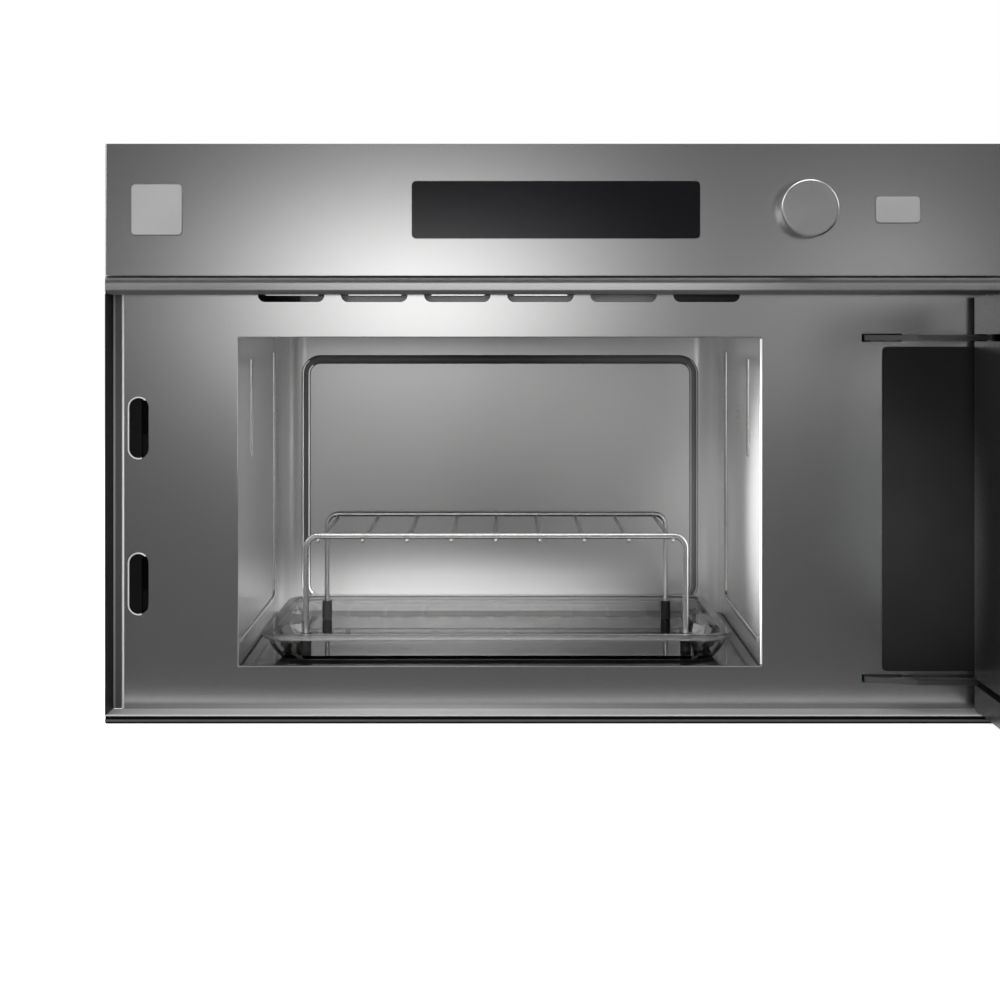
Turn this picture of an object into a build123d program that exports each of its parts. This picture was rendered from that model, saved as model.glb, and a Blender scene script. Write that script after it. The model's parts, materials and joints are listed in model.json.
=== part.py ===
from build123d import *
import os
from math import radians, sqrt, tan

# A built-in microwave with a right-hung door, which stands open at its stop.
# Sizes are in millimetres. X runs to the right as seen from the room, Y into the cabinet and Z up.
# The front plate's face is at Y = 0, the base stands at Z = 0 and X = 0 is the middle of the front.

# Outer sizes
front_width = 594.0
front_height = 382.0
bay_depth = 21.0
niche_depth = 297.0
housing_margin = 18.0
housing_drop = 24.0

# Clearances
seat_gap = 0.3
slide_gap = 0.4
running_gap = 0.05
door_gap = 1.2
pocket_gap = 0.6
button_gap = 1.5
work_gap = 1.0

# Sheets
sheet = 0.8
plate_sheet = 1.0
panel_sheet = 1.0
base_sheet = 1.0
bracket_sheet = 2.0

# Front plate, a pan whose side edges are folded back and hemmed
plate_margin = 6.9
plate_low = 2.0
plate_drop = 2.0
pan_depth = 3.0
hem_width = 8.0
plate_edge_r = 1.5

# Trims round the door bay and the control panel above it
panel_height = 86.8
trim_height = 11.85
trim_bulge = 1.8
trim_wall = 1.6
ledge_top = 6.1
ledge_lip = 1.0
ledge_groove_depth = 1.5
ledge_lower_lip = 2.9
ledge_undercut = 1.5
side_wall = 1.1
side_step = 1.5
side_foot = 1.8
hinge_side_wall = 1.0

# Cavity, whose side walls draw apart towards the back
latch_side = 84.9
machine_side = 158.9
cavity_floor = 34.4
cavity_head = 28.35
cavity_back_room = 27.0
cavity_flare = 3.3
cavity_corner_r = 22.0
flange_width = 9.0

# Ceramic floor on a ledge above the metal floor
floor_thickness = 4.0
floor_margin = 2.4
ledge_width = 14.0
recess_depth = 16.0

# Pressed beads of the cavity: their distance from its edges, width across the mouth and depth
back_bead_side = 15.4
back_bead_head = 14.6
back_bead_rise = 5.8
back_bead_r = 15.3
back_bead_mouth = 7.1
back_bead_depth = 2.2
wall_bead_mouth = 4.2
wall_bead_depth = 1.5
front_bead_y = 76.0
front_bead_head = 15.9
front_bead_length = 68.3
rear_bead_back = 39.0
rear_bead_head = 12.2
floor_bead_rise = 15.4
floor_bead_front = 15.0
floor_bead_bend = 9.0

# Perforations of the right wall
lamp_y = 147.0
lamp_head = 60.3
lamp_hole_r = 1.9
lamp_hole_pitch = 5.4
lamp_rings = 2
air_y = 45.5
air_rise = 50.2
air_hole_r = 1.4
air_columns = 3
air_column_pitch = 9.0
air_rows = 11
air_row_pitch = 5.4

# Air slots, half hidden by the top trim
vent_count = 6
vent_pitch = 55.6
vent_width = 44.5
vent_height = 10.5
vent_show = 4.95
vent_corner_r = 4.7
vent_shift = -0.6

# Latch slots and the door's two hooks
latch_slot_inset = 18.3
latch_slot_width = 12.85
latch_slot_height = 40.6
latch_slot_rise = 83.4
latch_slot_head = 89.25
slot_rim_r = 0.4
hook_shift = 3.7
hook_thickness = 3.0
hook_above_slot = 2.0
hook_stem = 12.0
hook_barb = 5.0
hook_barb_y = 10.5
hook_reach = 22.0
hook_nose = 4.0
latch_travel = 6.0
latch_bar_depth = 5.0
latch_bar_side = 7.0

# Latch housing and the slider that lifts the hooks
latch_box_wall = 1.0
latch_box_room = 20.7
latch_box_depth = 44.0
latch_box_margin = 14.0
latch_flange = 0.9
latch_lip = 3.0
catch_depth = 3.0
catch_height = 14.0
catch_gap = 0.6
slider_shift = 10.2
slider_width = 4.0
slider_thickness = 3.6
slider_y = 11.9
finger_height = 4.0
lift_gap = 0.5
switch_size = (10.0, 16.0, 28.0)
switch_rise = 15.5
switch_shift = 1.5
switch_nub = (3.0, 1.2, 4.0)
switch_hole_r = 1.5
switch_hole_pitch = 18.0

# Door, which is drawn shut and then turned about its pins
door_open = 90.0
pivot_inset = 9.0
door_edge = 1.5
glass_thickness = 4.0
glass_chamfer = 0.5
door_inner_y = -2.0
frame_inset = 0.4
frame_wall = 3.0
frame_front_wall = 2.0
latch_stile = 36.0
inner_corner_r = 6.0
choke_overlap = 22.0
choke_channel = 24.0
screen_thickness = 0.6
screen_gap = 0.4
screen_lap = 8.0
choke_cover_thickness = 1.2
choke_cover_lap = 2.0
inner_glass_thickness = 3.0

# Pocket of the latch bar in the door, and its spring
latch_pocket_left = 12.5
latch_pocket_right = 9.0
latch_pocket_low = 34.0
latch_pocket_high = 46.0
spring_wire_r = 0.5
spring_r = 3.0
spring_turns = 4

# Hinge arms, bracket and pins
arm_rise = 20.2
arm_head = 28.8
arm_thickness = 3.5
arm_half_width = 4.2
arm_reach = 81.4
arm_bend = 47.0
arm_bend_offset = 2.0
arm_slope = 23.0
arm_root = 39.1
arm_root_depth = 28.0
arm_slot_play = 1.5
arm_slot_width = 26.9
arm_slot_height = 5.6
pin_r = 2.0
pin_half_length = 10.0
pocket_play = 3.6
pocket_end = 5.0
pocket_wall = 4.9
bracket_low = 6.0
bracket_high = 8.0
bracket_shelf_y = 8.0
bracket_shelf_inset = 6.0
bracket_edge = 2.0
bracket_foot = (20.0, 8.0)

# Black cover panel between the hinge arms
cover_side = 12.3
cover_pivot_gap = 7.0
cover_rise = 5.3
cover_head = 6.25
cover_corner_r = 3.0
cover_proud = 0.2
cover_lap = 3.0

# Controls, all on one line of the panel
controls_drop = 43.5
window_width = 190.0
window_height = 38.0
window_lap = 4.0
window_thickness = 3.5
knob_inset = 132.0
knob_r = 19.0
knob_depth = 17.0
knob_edge_r = 1.5
pointer_size = (1.4, 7.0, 0.6)
pointer_inset = 2.0
shaft_r = 3.0
start_inset = 72.0
start_size = (30.0, 18.0)
start_stem_r = 2.5
door_button_inset = 34.25
door_button_size = 34.0
button_proud = 1.5
button_lap = 2.0
button_edge_r = 0.5
button_stem_r = 5.0
wedge_height = 8.0
wedge_width = 5.5
wedge_root = 2.0
board_room = 13.6
board_thickness = 1.6
board_height = 53.0
board_left_end = 15.0
board_right_end = 25.0
spacer_r = 3.0
spacer_inset = 6.0
spacer_head = 18.0
module_inset = 5.0
module_lower = 3.0
start_switch = (8.0, 5.0)
encoder_size = (14.0, 7.0)
encoder_bush = (4.5, 2.0)

# Microwave feed above the cavity
chamber_front = 24.0
chamber_side = 69.1
stirrer_port = (130.0, 84.0)
port_cover_lap = 6.0
port_cover_thickness = 1.0
port_cover_gap = 2.0
stirrer_gap = 4.0
stirrer_hub_r = 9.0
stirrer_level = 8.0
stirrer_height = 22.0
stirrer_blade = (24.0, 1.2)
stirrer_blades = 4
stirrer_pitch = 32.0
stirrer_shaft_end = 10.0
feed_height = 40.0
feed_wall = 1.0
feed_half_depth = 40.0
feed_end = 34.0
magnetron_size = (86.0, 68.0, 84.0)
magnetron_wall = 1.5
magnetron_core_r = 19.0
magnetron_fins = 7
magnetron_fin_pitch = 10.0
magnetron_fin_inset = 4.0
magnetron_box_inset = 8.0
magnetron_box_height = 22.0
magnetron_flange = (60.0, 50.0, 4.0)
antenna_r = 8.0
antenna_height = 22.0
antenna_gap = 2.0
stirrer_motor_r = 25.0
stirrer_motor_height = 19.5
motor_tab = (14.0, 8.0, 1.2)
motor_tab_reach = 4.0
cutout_inset = 40.1
cutout_half_pitch = 25.0
cutout_disc = (8.0, 7.0)
cutout_tabs = (26.0, 6.0, 1.0)

# Grill above the cavity
grill_side = 25.1
grill_back = 18.0
grill_depth = 90.0
grill_height = 30.0
grill_tube_r = 6.0
grill_tube_pitch = 40.0
grill_tube_end = (10.0, 2.0)
grill_slot_width = 8.0
grill_slot_inset = 10.0
grill_slot_count = 14
grill_slot_margin = 20.0

# Lamp and air duct beside the right wall
lamp_box = (28.0, 36.0)
lamp_box_wall = 1.5
bulb_r = 5.0
bulb_start = 9.0
bulb_socket = (7.0, 18.0)
duct_size = (44.0, 40.0)
duct_wall = 1.5
duct_elbow = (36.0, 30.0, 4.0)

# Fan, boards, gland and housing details
fan_back = 51.0
fan_drop = 158.0
fan_frame = 116.0
fan_bore_r = 52.0
fan_depth = 26.0
fan_post = 3.0
fan_post_gap = 2.0
rotor_gap = 2.5
rotor_hub_r = 16.0
rotor_blades = 7
rotor_blade = (22.0, 1.4)
rotor_pitch = 35.0
rotor_inset = 4.0
fan_shaft_r = 2.5
fan_motor_r = 20.0
fan_motor_depth = 18.0
fan_strut = (6.0, 3.0, 44.0)
fan_strut_reach = 33.0
outlet_rows = 9
outlet_pitch = 11.0
outlet_slot = (92.0, 4.5)
louvre_count = 9
louvre_pitch = 14.0
louvre_y = 90.0
louvre_width = 4.0
louvre_drop = 148.0
louvre_height = 60.0
intake_count = 7
intake_pitch = 14.0
intake_width = 5.0
intake_inset = 7.0
base_flange = 12.0
board_standoff = 8.0
board_post_inset = 5.0
inverter_size = (118.0, 155.0)
filter_size = (102.0, 62.0)
filter_back = 11.0
boards_gap = 9.0
capacitor_x = 82.0
capacitor_ys = (105.0, 130.0)
capacitor_size = (9.0, 24.0)
driver_place = (50.0, 95.0)
driver_size = (14.0, 45.0, 16.0)
sink_place = (8.0, 18.0)
sink_size = (5.0, 114.0, 40.0)
sink_fins = 10
sink_fin = 1.4
sink_fin_reach = 21.0
transformer_place = (52.0, 24.0)
transformer_size = (52.0, 50.0, 36.0)
transformer_limb = 8.0
winding_r = 17.0
coil_place = (30.0, 30.0)
coil_size = (19.0, 7.0, 13.0)
coil_edge = 3.0
mains_capacitor_place = (52.0, 14.0)
mains_capacitor_size = (26.0, 14.0, 20.0)
fuse_place = (52.0, 46.0)
fuse_size = (4.0, 28.0)
gland_inset = 54.0
gland_z = 70.0
gland_r = 9.0
gland_bore_r = 4.2
gland_collar = 4.0
gland_nut = 3.0
gland_inside = 8.0
gland_proud = 3.0
screw_r = 1.9
screw_head_r = 3.6
screw_head = 1.8
screw_inset = 12.0
screw_drop = 10.0

# Glass tray
tray_shift = -2.0
tray_side = 14.6
tray_front = 16.0
tray_depth = 208.0
tray_height = 18.0
tray_glass = 3.2
tray_rim = 4.0
tray_rim_lip = 3.0
tray_taper = 8.5
tray_corner_r = 22.0
grip_length = 74.0
grip_width = 17.0
grip_rise = 11.0
grip_draft = 6.0
grip_shoulder = 11.1

# Wire rack
rack_shift = -0.8
rack_side = 30.45
rack_front = 16.5
rack_back = 27.0
rack_rise = 84.1
rack_wire_r = 2.0
rack_bend_r = 8.4
cross_wire_r = 1.2
cross_wires = 9
cross_overhang = 2.5
foot_r = 3.7
foot_height = 13.7
foot_base = 2.4
foot_edge_r = 0.8

# Places of the front that follow from the sizes above
half_front = front_width / 2
half_plate = half_front - plate_margin
half_housing = half_front - housing_margin
housing_height = front_height - housing_drop
plate_high = housing_height - plate_drop
front_y = -bay_depth
back_y = niche_depth
panel_low = front_height - panel_height
top_trim_high = panel_low - seat_gap
top_trim_low = top_trim_high - trim_height
controls_z = front_height - controls_drop
vent_low = top_trim_low - vent_show

# Places of the cavity and of what stands in it
cavity_left = -half_front + latch_side
cavity_right = half_front - machine_side
cavity_x = (cavity_left + cavity_right) / 2
cavity_width = cavity_right - cavity_left
cavity_depth = niche_depth - cavity_back_room
cavity_top = top_trim_low - cavity_head
cavity_height = cavity_top - cavity_floor
cavity_middle_z = cavity_floor + cavity_height / 2
ceiling_z = cavity_top + sheet
ledge_z = cavity_floor - floor_thickness
metal_floor = ledge_z - recess_depth
lamp_z = cavity_top - lamp_head
tray_base = cavity_floor + seat_gap
tray_x = cavity_x + tray_shift
tray_y = tray_front + tray_depth / 2
tray_width = cavity_width - 2 * tray_side
rack_x = tray_x + rack_shift
rack_width = tray_width - 2 * rack_side
rack_front_y = tray_front + rack_front
rack_back_y = tray_front + tray_depth - rack_back
rack_bar_z = cavity_floor + rack_rise
foot_low = tray_base + tray_glass + seat_gap
cross_pitch = (rack_width - 2 * (rack_bend_r + running_gap)) / (cross_wires - 1)

# Places of the door, its hinges and its latch
pivot_x = half_front - pivot_inset
pivot_y = front_y + pivot_inset
door_left = -half_front + side_wall + door_gap
door_right = half_front - door_edge
door_low = ledge_top + door_gap
door_high = top_trim_low - door_gap
glass_back = front_y + glass_thickness
frame_back = door_inner_y - sheet
choke_front_y = glass_back + screen_gap + screen_thickness
choke_width = cavity_width + 2 * choke_overlap
choke_height = cavity_height + 2 * choke_overlap
arm_levels = (ledge_top + arm_rise, top_trim_low - arm_head)
arm_left = pivot_x - arm_reach
arm_bend_x = pivot_x - arm_bend
arm_root_right = arm_left + arm_root
pocket_left = arm_left - pocket_play
pocket_right = pivot_x + pocket_end
latch_slot_x = -half_front + latch_slot_inset
latch_slot_levels = (ledge_top + latch_slot_rise, top_trim_low - latch_slot_head)
hook_x = latch_slot_x + hook_shift
hook_levels = [level + hook_above_slot for level in latch_slot_levels]
slider_x = latch_slot_x + slider_shift
latch_box_right = latch_slot_x + latch_box_room

# Places of the controls
window_back_y = front_y + window_thickness
board_y = front_y + board_room
knob_x = half_front - knob_inset
start_x = half_front - start_inset
door_button_x = -half_front + door_button_inset
button_lap_front = front_y + panel_sheet + seat_gap
button_lap_back = button_lap_front + button_lap

# Places of the feed, the grill and the machine bay
bay_x = (cavity_right + cavity_flare + half_housing) / 2
chamber_half_width = cavity_width / 2 - chamber_side
chamber_half_depth = stirrer_port[1] / 2 + port_cover_lap + port_cover_gap
stirrer_r = chamber_half_depth - stirrer_gap
stirrer_y = chamber_front + chamber_half_depth
feed_top = ceiling_z + feed_wall + feed_height
magnetron_x = bay_x
magnetron_high = ceiling_z - magnetron_flange[2]
magnetron_low = magnetron_high - magnetron_size[2] - magnetron_box_height
grill_width = cavity_width - 2 * grill_side
grill_y = cavity_depth - grill_back - grill_depth / 2
fan_x = bay_x
fan_y = back_y - fan_back
fan_z = housing_height - fan_drop
rotor_r = fan_bore_r - rotor_gap
filter_x = (bay_x - filter_size[0] / 2, bay_x + filter_size[0] / 2)
filter_y = (back_y - filter_back - filter_size[1], back_y - filter_back)
inverter_x = (bay_x - inverter_size[0] / 2, bay_x + inverter_size[0] / 2)
inverter_y = (filter_y[0] - boards_gap - inverter_size[1], filter_y[0] - boards_gap)
board_top = base_sheet + board_standoff + board_thickness
gland_x = half_housing - gland_inset


def middle(pair):
    """Middle of a low and a high value."""
    return (pair[0] + pair[1]) / 2


def around(centre, size):
    """Low and high value of a span of the given size about its centre."""
    return (centre - size / 2, centre + size / 2)


def block(x, y, z):
    """Box between the low and high values of x, y and z."""
    size = [span[1] - span[0] for span in (x, y, z)]
    return Pos(middle(x), middle(y), middle(z)) * Box(*size)


def rect(x, y):
    """Flat rectangle between the low and high values of x and y."""
    return Pos(middle(x), middle(y)) * Rectangle(x[1] - x[0], y[1] - y[0])


def rod(axis, a, b, r, span):
    """Cylinder along axis, where a and b are its two other coordinates in X, Y, Z order."""
    length = span[1] - span[0]
    if axis == "X":
        return Pos(middle(span), a, b) * Rot(0, 90, 0) * Cylinder(r, length)
    if axis == "Y":
        return Pos(a, middle(span), b) * Rot(90, 0, 0) * Cylinder(r, length)
    return Pos(a, b, middle(span)) * Cylinder(r, length)


def slab(outline, y):
    """Outline drawn in X and Z, made solid between two values of Y."""
    return extrude(Plane.XZ.offset(-y[1]) * outline, amount=y[1] - y[0])


def floor_slab(outline, z):
    """Outline drawn in X and Y, made solid between two values of Z."""
    return extrude(Pos(0, 0, z[0]) * outline, amount=z[1] - z[0])


def rail(outline, x):
    """Profile drawn in Y and Z, made solid between two values of X."""
    return extrude(Plane.YZ.offset(x[0]) * outline, amount=x[1] - x[0])


def area(*points):
    """Flat polygon through the points, which run anticlockwise."""
    return Polygon(*points, align=None)


def wire_sweep(points, bend, r):
    """Round bar of radius r along straight runs joined by bends."""
    path = FilletPolyline(*points, radius=bend)
    return sweep(Plane(origin=path @ 0, z_dir=path % 0) * Circle(r), path=path)


def domed(path, r):
    """Round bar of radius r along a path, with a half ball at each end."""
    bar = sweep(Plane(origin=path @ 0, z_dir=path % 0) * Circle(r), path=path)
    for end, way in ((0, -1), (1, 1)):
        bar += Plane(origin=path @ end, z_dir=(path % end) * way) * Sphere(r, 0, 90)
    return bar


def wall_x(side, y):
    """Inner face of the cavity's side wall at depth y; side is -1 at the left and 1 at the right."""
    return cavity_x + side * (cavity_width / 2 + cavity_flare * y / cavity_depth)


def cavity_plan(grow, front):
    """Plan of the cavity, grow outside its walls, from the given Y to the back wall."""
    back = cavity_depth + grow
    plan = area(
        (wall_x(-1, front) - grow, front),
        (wall_x(1, front) + grow, front),
        (wall_x(1, back) + grow, back),
        (wall_x(-1, back) - grow, back),
    )
    return fillet(plan.vertices().sort_by(Axis.Y)[-2:], cavity_corner_r + grow)


def bead_radius(mouth, depth):
    """Radius of a round bead from the width of its mouth and its depth."""
    return ((mouth / 2) ** 2 + depth**2) / (2 * depth)


def beads(grow):
    """The pressed beads of the back and side walls, grow larger than their inner faces."""
    r = bead_radius(back_bead_mouth, back_bead_depth)
    low = cavity_floor + back_bead_rise
    high = cavity_top - back_bead_head
    width = cavity_width - 2 * back_bead_side - back_bead_mouth
    height = high - low - back_bead_mouth
    loop = RectangleRounded(width, height, back_bead_r - back_bead_mouth / 2)
    place = Plane.XZ.offset(-(cavity_depth + back_bead_depth - r))
    path = (place * Pos(cavity_x, middle((low, high))) * loop).wire()
    start = Plane(origin=path @ 0, z_dir=path % 0)
    shape = sweep(start * Circle(r + grow), path=path)
    r = bead_radius(wall_bead_mouth, wall_bead_depth)
    for side in (-1, 1):
        shift = side * (wall_bead_depth - r)

        def on_wall(y, z):
            return (wall_x(side, y) + shift, y, z)

        rear_bead_y = cavity_depth - rear_bead_back
        foot_z = cavity_floor + floor_bead_rise
        low = on_wall(front_bead_y, cavity_top - front_bead_head - front_bead_length)
        high = on_wall(front_bead_y, cavity_top - front_bead_head)
        shape += domed(Line(low, high), r + grow)
        foot = on_wall(rear_bead_y, foot_z)
        top = on_wall(rear_bead_y, cavity_top - rear_bead_head)
        end = on_wall(floor_bead_front, foot_z)
        shape += domed(FilletPolyline(top, foot, end, radius=floor_bead_bend), r + grow)
    return shape


def perforations():
    """Six-sided holes through the right wall: the lamp's cluster and the air inlet's columns."""
    x = wall_x(1, 0) - sheet
    holes = []
    for row in range(-lamp_rings, lamp_rings + 1):
        count = 2 * lamp_rings + 1 - abs(row)
        for n in range(count):
            y = lamp_y + (n - (count - 1) / 2) * lamp_hole_pitch
            holes.append((y, lamp_z + row * lamp_hole_pitch * sqrt(3) / 2, lamp_hole_r))
    air_z = cavity_floor + air_rise
    for column in range(air_columns):
        y = air_y + (column - (air_columns - 1) / 2) * air_column_pitch
        stagger = air_row_pitch / 2 * (column % 2)
        for row in range(air_rows):
            z = air_z + (row - (air_rows - 1) / 2) * air_row_pitch + stagger - air_row_pitch / 4
            holes.append((y, z, air_hole_r))
    reach = cavity_flare + 3 * sheet
    cuts = [Pos(y, z) * RegularPolygon(r, 6) for y, z, r in holes]
    return [rail(cut, (x, x + reach)) for cut in cuts]


def cavity_shell():
    """Pressed stainless cavity with its flange, ledge, metal floor, beads, ports and perforations."""
    shell = floor_slab(cavity_plan(sheet, plate_sheet), (ledge_z - sheet, ceiling_z))
    inset = ledge_width - sheet
    shell += floor_slab(cavity_plan(-inset, plate_sheet + inset), (metal_floor - sheet, ledge_z))
    flange_x = (wall_x(-1, 0) - flange_width, wall_x(1, 0) + flange_width)
    flange_z = (cavity_floor - flange_width, cavity_top + flange_width)
    shell += block(flange_x, (plate_sheet, plate_sheet + sheet), flange_z)
    recess = cavity_plan(-ledge_width, plate_sheet + ledge_width)
    shell -= floor_slab(recess, (metal_floor, ledge_z + sheet))
    shell -= floor_slab(cavity_plan(0, 0), (ledge_z, cavity_top))
    shell += beads(sheet) - floor_slab(cavity_plan(sheet / 2, 0), (ledge_z, cavity_top))
    shell -= beads(0)
    port = Pos(cavity_x, stirrer_y) * Rectangle(*stirrer_port)
    shell -= floor_slab(port, (cavity_top - sheet, ceiling_z + sheet))
    pitch = (grill_width - 2 * grill_slot_margin) / (grill_slot_count - 1)
    for n in range(grill_slot_count):
        x = cavity_x + (n - (grill_slot_count - 1) / 2) * pitch
        cut = Pos(x, grill_y) * Rectangle(grill_slot_width, grill_depth - 2 * grill_slot_inset)
        shell -= floor_slab(cut, (cavity_top - sheet, ceiling_z + sheet))
    shell -= perforations()
    return shell


def floor_plate():
    """Ceramic plate that lies on the ledge of the cavity."""
    plan = cavity_plan(-floor_margin, plate_sheet + floor_margin)
    return floor_slab(plan, (ledge_z, cavity_floor))


def floor_seal():
    """Silicone bead in the joint round the ceramic plate."""
    joint = cavity_plan(-seat_gap / 2, plate_sheet + sheet)
    joint -= cavity_plan(-floor_margin, plate_sheet + floor_margin)
    return floor_slab(joint, (ledge_z, cavity_floor - seat_gap))


def front_plate():
    """Satin steel front plate with every opening that the door bay shows."""
    side = (-half_plate, half_plate)
    section = rect(side, (0, pan_depth))
    section = fillet(section.vertices().sort_by(Axis.Y)[:2], plate_edge_r)
    inner = (side[0] + plate_sheet, side[1] - plate_sheet)
    section -= rect(inner, (plate_sheet, pan_depth - plate_sheet))
    hem = (side[0] + hem_width, side[1] - hem_width)
    section -= rect(hem, (plate_sheet, pan_depth))
    plate = floor_slab(section, (plate_low, plate_high))
    through = (-plate_sheet, plate_sheet + seat_gap)
    mouth_x = (wall_x(-1, 0), wall_x(1, 0))
    plate -= block(mouth_x, through, (cavity_floor, cavity_top))
    slot = SlotOverall(latch_slot_height, latch_slot_width, rotation=90)
    for level in latch_slot_levels:
        cut = slab(Pos(latch_slot_x, level) * slot, through)
        plate -= cut
        rim = Pos(latch_slot_x, level) * SlotOverall(
            latch_slot_height + 2 * slot_rim_r, latch_slot_width + 2 * slot_rim_r, rotation=90
        )
        top = Plane.XZ * rim
        low = Plane.XZ.offset(-slot_rim_r) * (Pos(latch_slot_x, level) * slot)
        plate -= loft([top.face(), low.face()])
    for level in arm_levels:
        span = (arm_left - arm_slot_play, arm_left - arm_slot_play + arm_slot_width)
        plate -= block(span, through, around(level, arm_slot_height))
    for n in range(vent_count):
        hole = RectangleRounded(vent_width, vent_height, vent_corner_r)
        x = cavity_x + vent_shift + (n - (vent_count - 1) / 2) * vent_pitch
        plate -= slab(Pos(x, vent_low + vent_height / 2) * hole, through)
    plate -= slab(hinge_cover_outline(seat_gap), through)
    return plate - rod("Y", door_button_x, controls_z, button_stem_r + slide_gap, through)


def hinge_cover_outline(grow):
    """Outline of the black hinge-side panel, grow larger all round."""
    x = (arm_left + cover_side - grow, pivot_x - cover_pivot_gap + grow)
    z = (arm_levels[0] + cover_rise - grow, arm_levels[1] - cover_head + grow)
    outline = RectangleRounded(x[1] - x[0], z[1] - z[0], cover_corner_r + grow)
    return Pos(middle(x), middle(z)) * outline


def hinge_cover():
    """Black panel that fills the plate's opening between the arms, lapped behind the sheet."""
    panel = slab(hinge_cover_outline(0), (-cover_proud, plate_sheet))
    lap = slab(hinge_cover_outline(cover_lap), (plate_sheet, plate_sheet + panel_sheet))
    return panel + lap


def top_trim():
    """Rounded metal bar between the door and the control panel, open at its back."""
    low = (front_y + trim_bulge, top_trim_low)
    crown = (front_y, middle((top_trim_low, top_trim_high)))
    high = (front_y + trim_bulge, top_trim_high)
    edges = [
        ThreePointArc(high, crown, low),
        Line(low, (0, top_trim_low)),
        Line((0, top_trim_low), (0, top_trim_high)),
        Line((0, top_trim_high), high),
    ]
    bar = rail(make_face(edges), (-half_front, half_front))
    inside = (-half_front + trim_wall, half_front - trim_wall)
    hollow_z = (top_trim_low + trim_wall, top_trim_high - trim_wall)
    return bar - block(inside, (front_y + trim_bulge + trim_wall, seat_gap), hollow_z)


def bottom_trim():
    """Ledge under the door: a lip, a groove below it and a lower lip, undercut at its foot."""
    groove_y = front_y + ledge_groove_depth
    profile = area(
        (groove_y, 0),
        (0, 0),
        (0, ledge_top),
        (front_y, ledge_top),
        (front_y, ledge_top - ledge_lip),
        (groove_y, ledge_top - ledge_lip),
        (groove_y, ledge_lower_lip),
        (front_y, ledge_lower_lip),
        (front_y, ledge_undercut),
        (groove_y, ledge_undercut),
    )
    return rail(profile, (-half_front, half_front))


def side_trim(side, wall_front):
    """Angle trim at one side of the bay: outer wall, small step and the strip beside the plate."""
    outer = half_front
    inner = outer - side_wall
    foot_y = pan_depth - side_foot
    section = rect((inner, outer), (wall_front, pan_depth))
    section += rect((half_plate + seat_gap, inner), (foot_y, pan_depth))
    step = area((inner, foot_y), (inner - side_step, foot_y), (inner, foot_y - side_step))
    section += step
    trim = floor_slab(section, (ledge_top, top_trim_low))
    return trim if side > 0 else mirror(trim, about=Plane.YZ)


def control_panel():
    """Shallow steel pan above the top trim, with openings for the window and the controls."""
    z = (panel_low, front_height)
    pan = block((-half_front, half_front), (front_y, 0), z)
    pan = fillet(pan.edges().filter_by(Axis.Z).group_by(Axis.Y)[0], plate_edge_r)
    inner_x = (-half_front + panel_sheet, half_front - panel_sheet)
    inner_z = (z[0] + panel_sheet, z[1] - panel_sheet)
    pan -= block(inner_x, (front_y + panel_sheet, seat_gap), inner_z)
    through = (front_y - panel_sheet, front_y + 2 * panel_sheet)
    window = RectangleRounded(window_width, window_height, cover_corner_r)
    pan -= slab(Pos(0, controls_z) * window, through)
    pan -= rod("Y", knob_x, controls_z, shaft_r + slide_gap, through)
    for x, width, height in button_places():
        hole = RectangleRounded(width, height, cover_corner_r)
        pan -= slab(Pos(x, controls_z) * hole, through)
    return pan


def button_places():
    """Centre, width and height of the two button openings."""
    return [
        (start_x, start_size[0], start_size[1]),
        (door_button_x, door_button_size, door_button_size),
    ]


def button_cap(place):
    """Push button with a lap behind the panel that stops it from falling out."""
    x, width, height = place
    outline = RectangleRounded(width - 2 * slide_gap, height - 2 * slide_gap, cover_corner_r - slide_gap)
    cap = slab(Pos(x, controls_z) * outline, (front_y - button_proud, button_lap_front))
    cap = fillet(cap.faces().sort_by(Axis.Y)[0].edges(), button_edge_r)
    lap = RectangleRounded(width + 2 * button_lap, height + 2 * button_lap, cover_corner_r)
    return cap + slab(Pos(x, controls_z) * lap, (button_lap_front, button_lap_back))


def start_button():
    """Start button on its stem, which stops short of the board's switch."""
    stem_end = board_y - board_thickness - start_switch[1] - button_gap
    stem = rod("Y", start_x, controls_z, start_stem_r, (button_lap_back, stem_end))
    return button_cap(button_places()[0]) + stem


def door_button():
    """Door button, its stem through the plate and the wedge that lifts the release slider."""
    z = around(controls_z, wedge_height)
    nose = slider_y - seat_gap * sqrt(2)
    root = nose - wedge_height - wedge_root
    profile = area((root, z[0]), (nose, z[0]), (nose - wedge_height, z[1]), (root, z[1]))
    wedge = rail(profile, around(door_button_x, wedge_width))
    stem = rod("Y", door_button_x, controls_z, button_stem_r, (button_lap_back, root + wedge_root / 2))
    return button_cap(button_places()[1]) + stem + wedge


def release_slider():
    """Upright bar that the door button lifts, with a finger under each of the door's hooks."""
    bar_x = around(slider_x, slider_width)
    bar_y = (slider_y, slider_y + slider_thickness)
    low = controls_z - wedge_height / 2
    high = low + wedge_height + slider_thickness
    tip = slider_y - wedge_height
    head = area(
        (slider_y, low),
        (bar_y[1], low),
        (bar_y[1], high),
        (tip, high),
        (tip, low + wedge_height),
    )
    slider = rail(head, (bar_x[0], door_button_x + wedge_width / 2))
    tops = [level - hook_stem / 2 - hook_barb - lift_gap for level in hook_levels]
    slider += block(bar_x, bar_y, (tops[0] - finger_height, low + slider_thickness))
    for top in tops:
        reach = (hook_x - hook_thickness / 2 + seat_gap, bar_x[1])
        slider += block(reach, bar_y, (top - finger_height, top))
    return slider


def latch_box_z():
    """Low and high end of the latch housing."""
    low = latch_slot_levels[0] - latch_slot_height / 2 - latch_box_margin
    return (low, latch_slot_levels[1] + latch_slot_height / 2 + latch_box_margin)


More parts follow.
